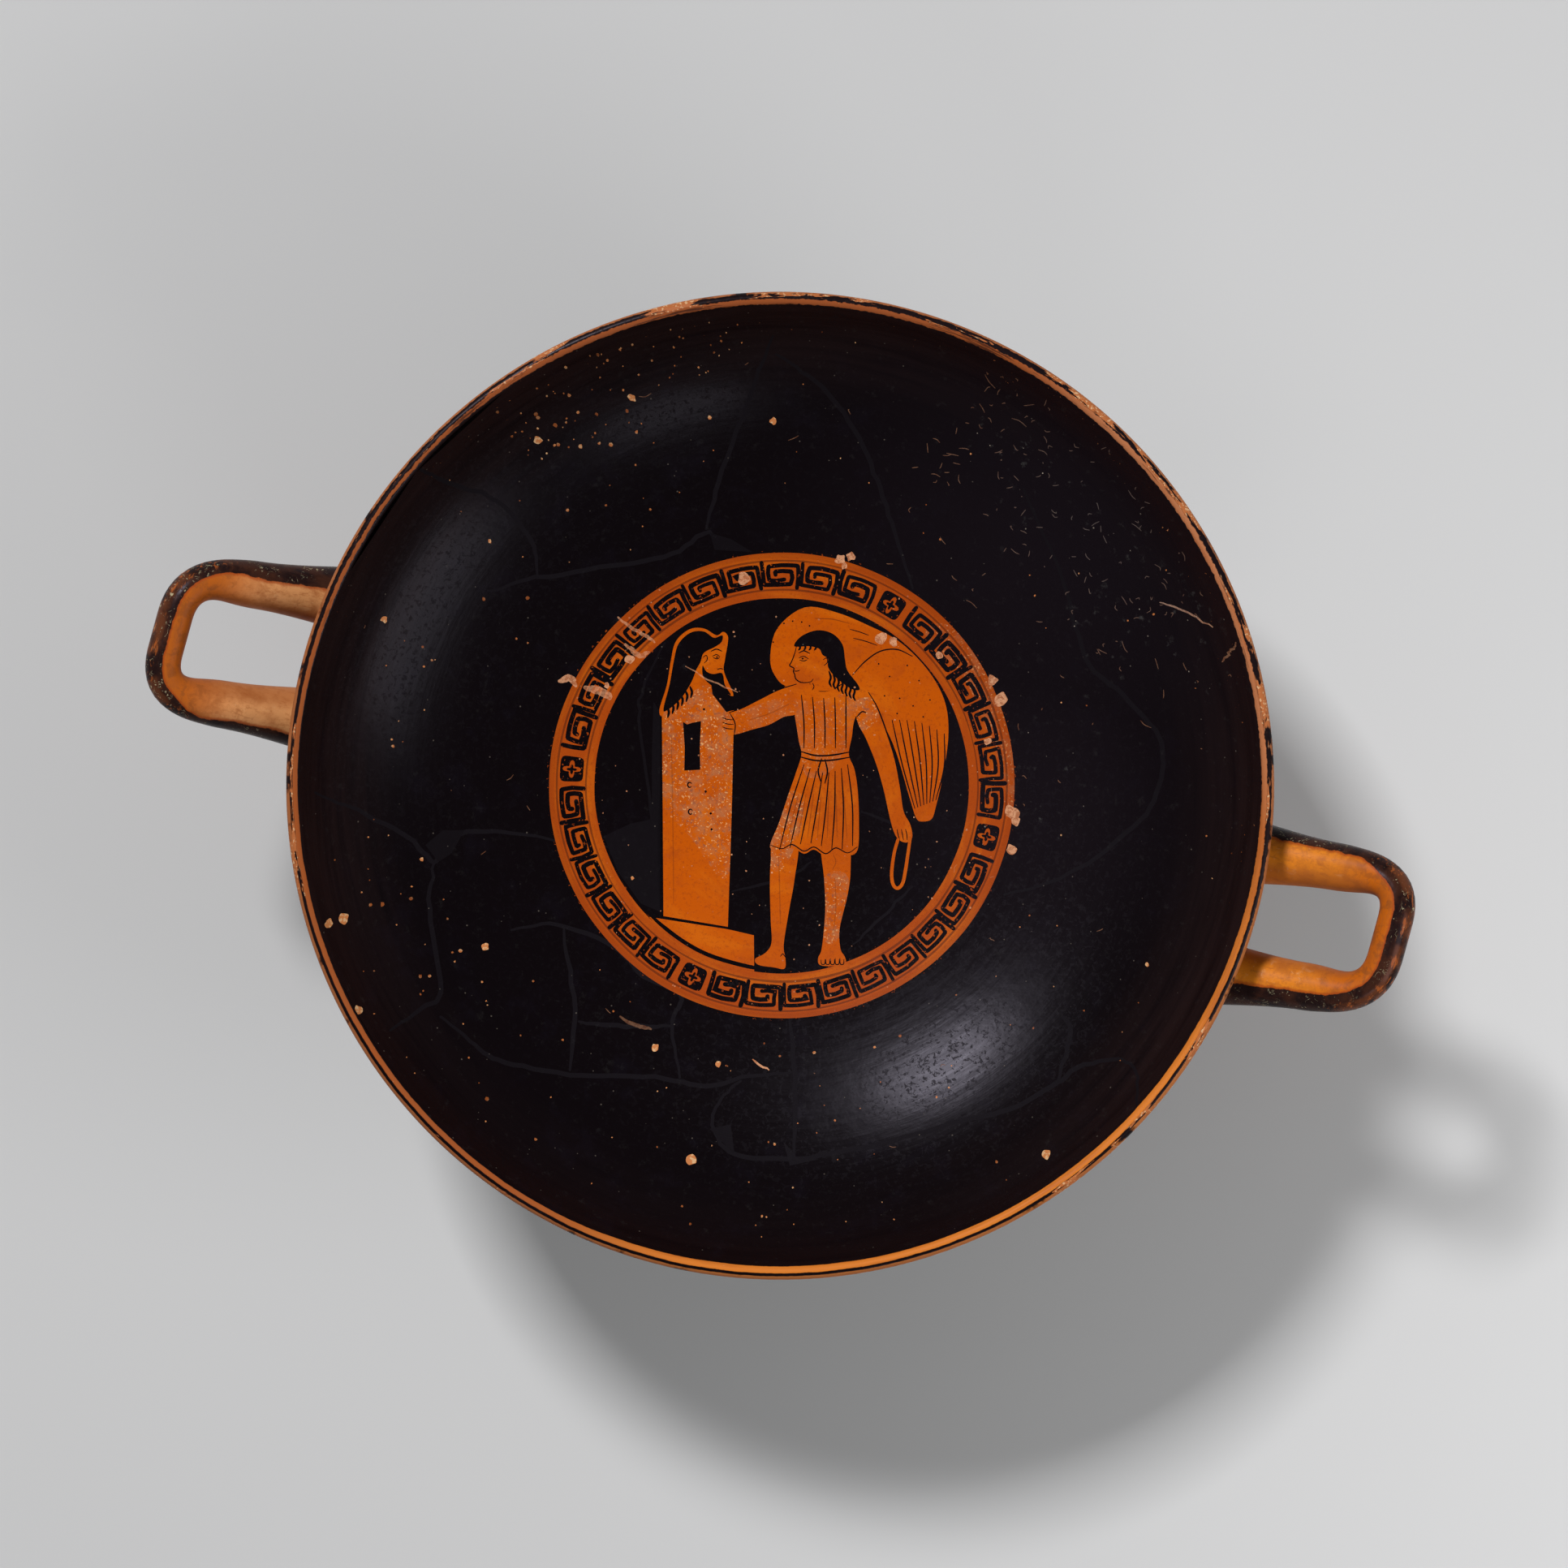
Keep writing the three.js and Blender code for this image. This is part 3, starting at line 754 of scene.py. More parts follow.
# fine pale scratches, most of them at the upper right
for bearings, reaches, count in (
    ((22, 64), (80, 110), 110),
    ((0, 70), (58, 109), 40),
    ((-40, 20), (44, 64), 10),
    ((70, 360), (60, 106), 14),
):
    for _ in range(count):
        bearing, reach = math.radians(hand.uniform(*bearings)), hand.uniform(*reaches)
        outwards = np.array([math.cos(bearing), math.sin(bearing)])
        round_cup = np.array([-math.sin(bearing), math.cos(bearing)])
        start = reach * outwards
        end = start + hand.normal(0, 0.8, 2) + hand.normal(0, 1.0) * round_cup
        if np.hypot(*end) < INNER_RIM - 2:
            bend = (start + end) / 2 + hand.normal(0, 0.2, 2)
            stroke([start, bend, end], 0.18, layer="crusted", amount=0.22)

# ---------------------------------------------------------------------------------------------------
# The bowl's inner face is one flat triangulation that holds every painted outline, lifted to the
# bowl's curve. The lathe carries on from its edge over the lip and round the outside.

GRAIN = 1.5  # the spacing of the plain points between the outlines
CLEAR = 0.55  # no plain point lies in a square of this size that an outline's point is in
MERGE_WITHIN = 1e-5
SAME_PLACE = 1e-3


def cell_of(points):
    """The number of the square that each point is in."""
    return (np.floor(points[:, 0] / CLEAR) * 10000 + np.floor(points[:, 1] / CLEAR)).astype(int)


rows = np.arange(-INNER_RIM, INNER_RIM, GRAIN * math.sqrt(3) / 2)
columns = np.arange(-INNER_RIM, INNER_RIM, GRAIN)
plain = np.stack(np.meshgrid(columns, rows), -1)
plain[1::2, :, 0] += GRAIN / 2
plain = plain.reshape(-1, 2)
outlines = [edge for mark in brush_marks for edge in mark[2]]
drawn = np.concatenate(outlines)
free = ~np.isin(cell_of(plain), cell_of(drawn)) & (np.hypot(*plain.T) < INNER_RIM - GRAIN / 2)
rim_edge = INNER_RIM * np.stack([np.cos(turn), np.sin(turn)], -1)
loops = [rim_edge] + outlines
starts = np.cumsum([0] + [len(loop) for loop in loops])
edges = np.concatenate([
    np.stack([np.arange(len(loop)), np.roll(np.arange(len(loop)), -1)], -1) + start
    for loop, start in zip(loops, starts)
])
points = np.concatenate(loops + [plain[free]])
flat, _, triangles, *_ = delaunay_2d_cdt(
    [Vector(p) for p in points.tolist()], edges.tolist(), [], 0, MERGE_WITHIN, False
)
flat = np.array([tuple(p) for p in flat])
triangles = np.array(triangles)
middles = flat[triangles].mean(axis=1)

paint_on = {layer: np.zeros(len(triangles)) for layer in PAINT_LAYERS}
for layer, amount, loops_drawn, covers in brush_marks:
    low = np.min([loop.min(axis=0) for loop in loops_drawn], axis=0)
    high = np.max([loop.max(axis=0) for loop in loops_drawn], axis=0)
    near = np.flatnonzero(np.all((middles > low) & (middles < high), axis=1))
    hit = near[covers(middles[near])]
    paint_on[layer][hit] = amount
    if layer == "reserved":
        paint_on["thinned"][hit] = 0

radius = np.hypot(*flat.T)
inner_vertices = np.column_stack([flat, inner_height(np.minimum(radius, INNER_RIM))])
step = 0.01
nearer = np.clip(radius - step, 0, None)
slope = (inner_height(np.minimum(radius, INNER_RIM)) - inner_height(nearer)) / step
outward = flat / np.maximum(radius, step)[:, None]
inner_normals = np.column_stack([-outward * slope[:, None], np.ones(len(flat))])

profile = outside_profile()
outer_vertices, quads, fan = lathe(profile)
on_edge = np.flatnonzero(radius > INNER_RIM - SAME_PLACE)
edge_turn = np.arctan2(flat[on_edge, 1], flat[on_edge, 0]) / (2 * math.pi)
column_of = np.round(edge_turn * TURNS).astype(int) % TURNS
offset = len(flat)
shared = np.arange(len(flat))
shared[on_edge] = offset + column_of

heading = np.gradient(profile, axis=0)
across = np.stack([-heading[:, 1], heading[:, 0]], -1)[:-1]
outer_normals = np.stack([
    across[:, :1] * np.cos(turn),
    across[:, :1] * np.sin(turn),
    np.broadcast_to(across[:, 1:], (len(across), TURNS)),
], -1).reshape(-1, 3)
outer_normals = np.append(outer_normals, [[0, 0, -1]], axis=0)
run = np.append(0, np.cumsum(np.hypot(*np.diff(profile, axis=0).T)))

# ---------------------------------------------------------------------------------------------------
# The handles: each is a roll of clay bent into a loop, pressed on under the rim and smoothed down on
# the wall. The second is the first turned half round. Its legs widen and sink towards the cup.

HANDLE_REACH = 150.5
GRIP_RADIUS = 4.15
LEG_RADIUS = 5.6
ROOT_RADIUS = 8.6
GRIP_HALF_WIDTH = 14.3  # from the loop's own middle line out to the middle of the roll
ROOT_HALF_WIDTH = 15.3
GRIP_CORNER = 10.0
GRIP_HEIGHT = 82.0
ROOT_HEIGHT = 61.5
ROOT_REACH = 70.0
HANDLE_LEAN = 0.108  # how far each loop leans round the cup for each mm outwards
LEG_LIFT_START = 90.0  # the distance from the axis where the legs begin to rise
LEG_LIFT_POWER = 1.25
TAPER_LENGTH = 16.0  # over which a leg narrows to the grip
FLARE = (131.0, 97.0)  # the distances from the axis between which a leg widens to its root
FILLET = 2.2  # how far the roll is spread where it meets the wall
FILLET_REACH = 6.0
# Black glaze covers the outside of the roll, up to a line at a share from its outermost (-1) to its
# innermost (1) side: on the leg before the grip and the one after it in the cup's turn, and the grip.
LEG_PAINT = (-0.28, -0.6)
GRIP_PAINT = -0.12
GRIP_PAINT_FROM = (134.0, 142.0)  # the distance from the axis over which the leg becomes the grip
GRIP_WORN_FROM = (0.6, 0.76)  # how far out the grip's glaze is rubbed thin
GRIP_LINE = HANDLE_REACH - GRIP_RADIUS
HANDLE_STEPS = 110
HANDLE_SIDES = 32
LOOP_SAMPLES = 1200
WALL_SAMPLES = 240
BEYOND = 1000.0  # stands for higher or farther than any part of the cup


def smooth_step(value, low, high):
    """0 below low, 1 above high, and 3t^2 - 2t^3 between."""
    t = np.clip((value - low) / (high - low), 0, 1)
    return t * t * (3 - 2 * t)


def handle_line():
    """The loop's middle line: a straight leg, a quadratic corner, the grip, and the same again. It leans
    sideways by a share of x, and its height rises as a power of the distance past where the legs lift.
    Evenly spaced."""
    spread = (ROOT_HALF_WIDTH - GRIP_HALF_WIDTH) / (GRIP_LINE - ROOT_REACH)
    leg_end = np.array([GRIP_LINE - GRIP_CORNER, GRIP_HALF_WIDTH + spread * GRIP_CORNER])
    corner = np.array([GRIP_LINE, GRIP_HALF_WIDTH])
    grip_end = np.array([GRIP_LINE, GRIP_HALF_WIDTH - GRIP_CORNER])
    t = np.linspace(0, 1, 30)[:, None]
    bend = (1 - t) ** 2 * leg_end + 2 * (1 - t) * t * corner + t**2 * grip_end
    half_loop = np.concatenate([[[ROOT_REACH, ROOT_HALF_WIDTH]], bend])
    loop = np.concatenate([half_loop, half_loop[::-1] * [1, -1]])
    steps = np.append(0, np.cumsum(np.hypot(*np.diff(loop, axis=0).T)))
    even = np.linspace(0, steps[-1], LOOP_SAMPLES)
    x, y = np.interp(even, steps, loop[:, 0]), np.interp(even, steps, loop[:, 1])
    share = np.clip((x - LEG_LIFT_START) / (GRIP_LINE - LEG_LIFT_START), 0, None)
    lean = HANDLE_LEAN * (x - RIM_RADIUS)
    return np.stack([x, y + lean, ROOT_HEIGHT + (GRIP_HEIGHT - ROOT_HEIGHT) * share**LEG_LIFT_POWER], -1)


def handle_surface():
    """A round roll on the loop's middle line: line + radius (cos a side + sin a up), its radius grown
    near the wall. Each lengthwise row is then cut where it passes the middle of the bowl's wall, and
    spaced evenly between its cuts. Returns (rows, steps, xyz), how far each point faces into the loop,
    from 1 to -1, beyond the edge of the black glaze there, and how much the glaze is rubbed."""
    middle = handle_line()
    tangent = np.gradient(middle, axis=0)
    tangent /= np.linalg.norm(tangent, axis=1, keepdims=True)
    rise = (GRIP_HEIGHT - ROOT_HEIGHT) * LEG_LIFT_POWER / (GRIP_LINE - LEG_LIFT_START)
    share = np.clip((middle[:, 0] - LEG_LIFT_START) / (GRIP_LINE - LEG_LIFT_START), 0, 1)
    slope = rise * share ** (LEG_LIFT_POWER - 1) * (share > 0)
    up = np.stack([-slope, 0 * slope, np.ones_like(slope)], -1)
    up /= np.linalg.norm(up, axis=1, keepdims=True)
    side = np.cross(up, tangent)
    from_grip = GRIP_LINE - middle[:, 0]
    from_flare = FLARE[0] - middle[:, 0]
    radius = GRIP_RADIUS + (LEG_RADIUS - GRIP_RADIUS) * smooth_step(from_grip, 0, TAPER_LENGTH)
    radius += (ROOT_RADIUS - LEG_RADIUS) * smooth_step(from_flare, 0, FLARE[0] - FLARE[1])
    angle = np.arange(HANDLE_SIDES) * (2 * math.pi / HANDLE_SIDES)
    spoke = np.cos(angle)[:, None, None] * side + np.sin(angle)[:, None, None] * up
    surface = middle + spoke * radius[:, None]
    wall_radii = np.linspace(40, INNER_RIM, WALL_SAMPLES)
    wall = wall_point(wall_radii, 1)
    place = np.stack([np.hypot(surface[..., 0], surface[..., 1]), surface[..., 2]], -1)
    gap = np.min(np.linalg.norm(place[:, :, None] - wall, axis=-1), axis=-1)
    surface = surface + spoke * (FILLET * np.clip(1 - gap / FILLET_REACH, 0, 1) ** 2)[..., None]
    mid_wall = wall_point(wall_radii, 0.5)
    radius_there = np.hypot(surface[..., 0], surface[..., 1])
    core_floor = np.interp(radius_there, mid_wall[:, 0], mid_wall[:, 1], right=BEYOND)
    outside = surface[..., 2] < core_floor
    first = np.argmax(outside, axis=1)
    last = outside.shape[1] - 1 - np.argmax(outside[:, ::-1], axis=1)
    at = first[:, None] + (last - first)[:, None] * np.linspace(0, 1, HANDLE_STEPS + 1)
    low = np.floor(at).astype(int)
    part = (at - low)[..., None]
    high = np.minimum(low + 1, outside.shape[1] - 1)
    row = np.arange(HANDLE_SIDES)[:, None]
    surface = surface[row, low] * (1 - part) + surface[row, high] * part
    across = surface[..., 1] - HANDLE_LEAN * (surface[..., 0] - RIM_RADIUS)
    on_grip = smooth_step(surface[..., 0], *GRIP_PAINT_FROM)
    to_far_leg = np.clip(0.5 + across / (2 * GRIP_HALF_WIDTH), 0, 1)
    edge = LEG_PAINT[0] + (LEG_PAINT[1] - LEG_PAINT[0]) * to_far_leg
    edge += (GRIP_PAINT - edge) * on_grip
    inward = np.broadcast_to(-np.cos(angle)[:, None], across.shape)
    worn = on_grip * smooth_step(-inward, *GRIP_WORN_FROM)
    return surface, inward - edge, worn


surface, bare_side, rubbed = handle_surface()
side, along = np.meshgrid(np.arange(HANDLE_SIDES), np.arange(HANDLE_STEPS), indexing="ij")
here = side * (HANDLE_STEPS + 1) + along
beside = ((side + 1) % HANDLE_SIDES) * (HANDLE_STEPS + 1) + along
handle_quads = np.stack([here, beside, beside + 1, here + 1], -1).reshape(-1, 4)
ends = np.arange(HANDLE_SIDES) * (HANDLE_STEPS + 1)
end_middles = np.stack([surface[:, 0].mean(axis=0), surface[:, -1].mean(axis=0)])
handle_points = np.concatenate([surface.reshape(-1, 3), end_middles])
hub = surface.shape[0] * surface.shape[1]
handle_fans = np.concatenate([
    np.stack([np.roll(ends, -1), ends, np.full(HANDLE_SIDES, hub)], -1),
    np.stack([ends + HANDLE_STEPS, np.roll(ends, -1) + HANDLE_STEPS, np.full(HANDLE_SIDES, hub + 1)], -1),
])

# One mesh for the fired cup: the inner face, the lathe and the two handles.
handles_from = len(flat) + len(outer_vertices)
all_points = [inner_vertices, outer_vertices, handle_points, handle_points * [-1, -1, 1]]
vertices = np.concatenate(all_points)
handle_starts = (handles_from, handles_from + len(handle_points))
faces = [shared[triangles], quads + offset, fan + offset]
faces += [handle_quads + start for start in handle_starts]
faces += [handle_fans + start for start in handle_starts]
used = np.zeros(len(vertices), bool)
for group in faces:
    used[group] = True
renumber = np.cumsum(used) - 1
face_list = [face for group in faces for face in renumber[group].tolist()]
mesh = bpy.data.meshes.new("kylix")
mesh.from_pydata((vertices[used] * MM).tolist(), [], face_list)
mesh.polygons.foreach_set("use_smooth", np.ones(len(face_list), bool))
mesh.update()


def attribute(name, domain, values):
    """Keeps one number for each face or each point of the mesh under a name that a material reads."""
    layer = mesh.attributes.new(name, "FLOAT", domain)
    layer.data.foreach_set("value", np.ascontiguousarray(values, dtype=np.float32))


# What is reserved outside: the foot's edge and underside, with black in the hollow, and a panel between
# the roots of each handle.
PANEL_HALF_ANGLE = math.radians(7.6)
PANEL_HEIGHTS = (51.0, 78.0)
FOOT_BLACK = (14.0, 24.0)  # a black ring on the foot's underside
ring_middle = (profile[:-2] + profile[1:-1]) / 2
stem_start = LIP_STEPS + WALL_STEPS
foot_edge_start = stem_start + 2 * CURVE_STEPS
outer_paint = np.zeros((len(profile) - 2, TURNS))
ring_index = np.arange(len(profile) - 2)
outer_paint[(ring_index >= foot_edge_start) & (ring_middle[:, 0] > FOOT_BLACK[1])] = 1
outer_paint[(ring_index > foot_edge_start) & (ring_middle[:, 0] < FOOT_BLACK[0])] = 1
column_turn = (np.arange(TURNS) + 0.5) * (2 * math.pi / TURNS)
by_handle = np.abs(np.sin(column_turn)) < math.sin(PANEL_HALF_ANGLE)
on_wall = (ring_index > LIP_STEPS) & (ring_index < stem_start)
in_panel = on_wall & (ring_middle[:, 1] > PANEL_HEIGHTS[0]) & (ring_middle[:, 1] < PANEL_HEIGHTS[1])
outer_paint[np.ix_(in_panel, by_handle)] = 1

handle_faces = 2 * (len(handle_quads) + len(handle_fans))
for name in PAINT_LAYERS:
    shown = 1.0 if name == "reserved" else 0.0  # the lathe's part is painted or bare and nothing else
    on_lathe = [outer_paint.reshape(-1) * shown, np.full(len(fan), shown)]
    attribute(name, "FACE", np.concatenate([paint_on[name], *on_lathe, np.zeros(handle_faces)]))
cup_faces = len(triangles) + outer_paint.size + len(fan)
attribute("handle", "FACE", np.repeat([0, 1], [cup_faces, handle_faces]))
lathe_run = np.append(np.repeat(run[:-1], TURNS), run[-1])
lip_run = np.concatenate([radius - INNER_RIM, lathe_run, np.full(2 * len(handle_points), BEYOND)])
attribute("lip_run", "POINT", lip_run[used])
for name, values in (("bare_side", bare_side), ("rubbed", rubbed)):
    on_one = np.append(values.reshape(-1), [0, 0])
    attribute(name, "POINT", np.concatenate([np.zeros(handles_from), on_one, on_one])[used])

normals = np.zeros((len(vertices), 3))
normals[:handles_from] = np.concatenate([inner_normals, outer_normals])
normals = normals[used]
mesh_normals = np.zeros(len(mesh.vertices) * 3, np.float32)
mesh.vertex_normals.foreach_get("vector", mesh_normals)
on_handle = (np.arange(len(vertices)) >= handles_from)[used]
normals[on_handle] = mesh_normals.reshape(-1, 3)[on_handle]
normals /= np.linalg.norm(normals, axis=1, keepdims=True)
mesh.normals_split_custom_set_from_vertices(normals.tolist())
cup = bpy.data.objects.new("kylix_cup", mesh)
bpy.context.collection.objects.link(cup)
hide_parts("kylix")
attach(cup, "root")

# ---------------------------------------------------------------------------------------------------
# Fired clay and glaze: orange clay with a burnished skin, under a black gloss that is brown where it
# was brushed on thin. Centuries in the ground pitted the glaze, wore it off the edges and left dust.

finish = bpy.data.materials.new("fired clay and black glaze")
finish.use_nodes = True
tree = finish.node_tree
gloss = tree.nodes["Principled BSDF"]


def plug(socket, value):
    """Links a socket to an output, or sets it to a plain value."""
    if isinstance(value, bpy.types.NodeSocket):
        tree.links.new(value, socket)
    else:
        socket.default_value = value


def node(kind, inputs, **settings):
    """A shader node's outputs. Its settings are made first, and then each of its inputs, by name or by
    place, is linked or set."""
    made = tree.nodes.new("ShaderNode" + kind)
    for name, value in settings.items():
        setattr(made, name, value)
    for socket, value in inputs.items():
        plug(made.inputs[socket], value)
    return made.outputs


def maths(operation, *values):
    """One step of arithmetic on numbers or outputs."""
    return node("Math", dict(enumerate(values)), operation=operation)[0]


def step_up(value, low, high):
    """0 below low and 1 above high, with a smooth slope between."""
    ends = {"Value": value, "From Min": low, "From Max": high}
    return node("MapRange", ends, interpolation_type="SMOOTHSTEP")["Result"]


def opposite(mask):
    """1 where a mask is 0, and 0 where it is 1."""
    return maths("SUBTRACT", 1.0, mask)


def step_down(value, low, high):
    """1 below low and 0 above high, with a smooth slope between."""
    return opposite(step_up(value, low, high))


def most(*values):
    """The largest of several masks."""
    result = values[0]
    for value in values[1:]:
        result = maths("MAXIMUM", result, value)
    return result


def times(*values):
    """The product of several masks and numbers."""
    result = values[0]
    for value in values[1:]:
        result = maths("MULTIPLY", result, value)
    return result


def plus(*values):
    """The sum of several masks and numbers."""
    result = values[0]
    for value in values[1:]:
        result = maths("ADD", result, value)
    return result


def minus(value, taken):
    """A value with another taken from it."""
    return maths("SUBTRACT", value, taken)


def over(base, colour, mask):
    """A colour laid over another where a mask is 1."""
    base, colour = (c if isinstance(c, bpy.types.NodeSocket) else (*c, 1) for c in (base, colour))
    return node("Mix", {"Factor": mask, "A": base, "B": colour}, data_type="RGBA")["Result"]


def value_over(base, value, mask):
    """A number laid over another where a mask is 1."""
    return node("Mix", {"Factor": mask, "A": base, "B": value})["Result"]


def clouds(vector, size, detail=3.0, roughness=0.55, distortion=0.0):
    """Noise from 0 to 1 whose largest patches are about that many millimetres across."""
    grain = {"Detail": detail, "Roughness": roughness, "Distortion": distortion}
    return node("TexNoise", {"Vector": vector, "Scale": 1 / size, **grain})["Fac"]


def specks(vector, spacing, share):
    """Round specks, one to a cell of that spacing in millimetres, in a share of the cells. Returns the
    distance to the speck's middle, 1 where its cell has one, and a number from 0 to 1 for its size."""
    cells = node("TexVoronoi", {"Vector": vector, "Scale": 1 / spacing})
    pick = node("SeparateColor", {"Color": cells["Color"]})
    chosen = maths("GREATER_THAN", pick["Red"], 1 - share)
    return times(cells["Distance"], spacing), chosen, pick["Green"]


def read(name):
    """A number that the mesh keeps under a name."""
    return node("Attribute", {}, attribute_name=name)["Fac"]


in_metres = node("TexCoord", {})["Object"]
here_mm = node("VectorMath", {0: in_metres, "Scale": 1 / MM}, operation="SCALE")["Vector"]
x, y, z = node("SeparateXYZ", {"Vector": here_mm})
from_axis = maths("SQRT", plus(times(x, x), times(y, y)))
STREAK_LENGTH = 9.0
# a place whose noise is long along the wheel's turn and short across it
wheel_mm = node("CombineXYZ", {
    "X": maths("DIVIDE", times(x, STREAK_LENGTH), from_axis),
    "Y": maths("DIVIDE", times(y, STREAK_LENGTH), from_axis),
    "Z": plus(from_axis, z),
})["Vector"]


def patches(size, low, high, detail=3.0, roughness=0.55, distortion=0.0, vector=here_mm):
    """A mask of soft-edged patches: 0 where noise of that size is below low, and 1 where above high."""
    return step_up(clouds(vector, size, detail, roughness, distortion), low, high)


def around(place, reach):
    """A mask that is 1 at a place in the bowl, given as in the picture, and falls to 0 at a reach from
    it, in millimetres."""
    centre = in_sight(*place)
    height = float(inner_height(min(np.hypot(*centre), INNER_RIM)))
    gap = node("VectorMath", {0: here_mm, 1: (*centre, height)}, operation="DISTANCE")["Value"]
    return step_down(gap, 0.0, reach)


reserved, thinned, weathered, lost, mended, crusted = (read(name) for name in PAINT_LAYERS)
on_handles = read("handle")
lip_at = read("lip_run")
bare_side = read("bare_side")
rubbed = read("rubbed")


def between(value, low, high, soft):
    """1 from low to high, with edges that are soft to either side."""
    return times(step_up(value, low - soft, low + soft), step_down(value, high - soft, high + soft))


def reach_toward(right, up):
    """How far a place lies in one direction of the view from the camera, in millimetres."""
    direction = in_sight(right, up)
    return plus(times(x, direction[0]), times(y, direction[1]))


# The lip: a clean reserved band inside, a black line on the crest that is chipped here and there, and a
# thin bare edge outside it. On one side of the cup the band is narrower, more chipped and painted in
# shade.
BAND_START = (0.1, 0.5)  # on the fresh side and on the worn side
BAND_END = (1.95, 1.85)
LINE_END = (2.75, 3.2)
BARE_EDGE_END = 4.6
# The side towards the top of the view is the worn one. The lip's clay is painted in shade there and on
# the left.
worn_and_shaded_side = step_up(reach_toward(0.3, 0.95), -45.0, 70.0)
left_shaded_side = step_up(reach_toward(-1.0, -0.15), 30.0, 80.0)
slow = times(minus(clouds(here_mm, 14.0, 4.0), 0.5), 0.6)
quick = times(minus(clouds(here_mm, 1.4, 3.0), 0.5), plus(0.25, times(worn_and_shaded_side, 0.8)))
lip_place = plus(lip_at, plus(slow, quick))
band_start = value_over(*BAND_START, worn_and_shaded_side)
band_end = value_over(*BAND_END, worn_and_shaded_side)
line_end = value_over(*LINE_END, worn_and_shaded_side)
band_start = plus(band_start, times(left_shaded_side, 0.65))
past_start = step_up(minus(lip_place, band_start), -0.1, 0.1)
in_band = times(past_start, step_down(minus(lip_place, band_end), -0.1, 0.1))
past_line = step_up(minus(lip_place, line_end), -0.12, 0.12)
in_edge = times(past_line, step_down(lip_at, BARE_EDGE_END, BARE_EDGE_END + 0.3))
in_edge = times(in_edge, patches(9.0, 0.34, 0.44, 4.0, 0.6))
on_line = times(step_up(minus(lip_place, band_end), -0.2, 0.1), step_down(lip_at, 4.0, 4.3))
chip_noise = plus(clouds(wheel_mm, 1.2, 4.0, 0.7), times(clouds(here_mm, 20.0, 2.0), 0.5))
chips = times(on_line, step_up(plus(chip_noise, times(worn_and_shaded_side, 0.06)), 0.85, 0.88))
near_lip = between(lip_at, -2.4, 8.0, 0.8)
nicks = times(between(lip_at, -5.0, 8.0, 0.8), patches(1.0, 0.715, 0.735, 3.0, 0.6))
nicks = times(nicks, step_up(worn_and_shaded_side, 0.1, 0.9))
band_scuffs = times(in_band, worn_and_shaded_side, patches(1.2, 0.54, 0.64, 4.0, 0.66, vector=wheel_mm))

# Each handle's side that faces into the loop was left bare, and its outside was painted.
legs = step_down(maths("ABSOLUTE", x), 126.0, 140.0)
left_grip = times(step_down(x, -20.0, 20.0), opposite(legs))
brush_stray = times(minus(clouds(here_mm, 2.4, 4.0, 0.6), 0.5), 0.22)
paint_edge = plus(plus(bare_side, brush_stray), times(left_grip, 0.22))
bare_handle = step_up(paint_edge, -0.025, 0.025)
handle_wear = clouds(here_mm, 7.0, 3.0, 0.55)
scraped_flecks = patches(1.3, 0.64, 0.67, 4.0, 0.7, 0.6)
scraped_lines = between(clouds(here_mm, 2.4, 3.0, 0.6, 0.8), 0.50, 0.514, 0.004)
scraped = most(scraped_flecks, times(scraped_lines, patches(2.0, 0.54, 0.6, 2.0)))
scrapes = times(scraped, patches(11.0, 0.40, 0.54, 2.0), step_down(paint_edge, -0.1, 0.0), on_handles)

# Where the clay is bare: what was left in reserve, the lip's band and edge, chips, losses and wear.
on_border_ring = between(from_axis, RING[0] - 0.3, RING[1] + 0.6, 0.2)
worn_lines = times(on_border_ring, patches(0.7, 0.64, 0.68, 3.0, 0.6))
clean_band = times(in_band, opposite(times(band_scuffs, 0.75)))
bare = most(reserved, clean_band, in_edge, chips, nicks, lost, times(worn_lines, 0.8))
bare = value_over(bare, bare_handle, on_handles)

# Clay: orange, redder where it was fired hotter, streaked by the wheel and the burnishing tool.
CLAY_ORANGE = (0.465, 0.078, 0.0003)
CLAY_RED = (0.31, 0.046, 0.004)
CLAY_DARK = (0.25, 0.038, 0.003)
GOLDEN = (0.56, 0.125, 0.003)
WEATHERED_TAN = (0.36, 0.135, 0.055)
WEATHERED_CREAM = (0.66, 0.33, 0.13)
WEATHERED_VIOLET = (0.17, 0.065, 0.045)
BROWN_WASH = (0.06, 0.012, 0.004)
fired_hotter = patches(40.0, 0.40, 0.62, 2.0)
border_mask = between(from_axis, RING[0] - 0.3, RING[1] + 1.0, 0.2)
clay = over(CLAY_ORANGE, CLAY_RED, most(times(fired_hotter, 0.35), times(border_mask, 0.8)))
clay = over(clay, CLAY_RED, times(patches(8.0, 0.48, 0.72, 4.0, 0.6), 0.5))
clay = over(clay, GOLDEN, times(patches(5.0, 0.46, 0.7, 4.0, 0.6, vector=wheel_mm), 0.5))
clay = over(clay, CLAY_DARK, times(patches(0.8, 0.52, 0.68, 3.0, 0.7), 0.45))
outer_line = between(from_axis, RING[1] - 1.2, RING[1] + 1.0, 0.3)
clay = over(clay, CLAY_DARK, times(0.45, outer_line))
clay = over(clay, WEATHERED_TAN, times(weathered, 0.65, patches(3.2, 0.42, 0.66, 4.0, 0.66)))
clay = over(clay, WEATHERED_VIOLET, times(weathered, 0.6, patches(0.9, 0.56, 0.64, 3.0, 0.7, 0.4)))
clay = over(clay, WEATHERED_CREAM, times(weathered, 0.8, patches(0.6, 0.61, 0.66, 2.0, 0.6)))
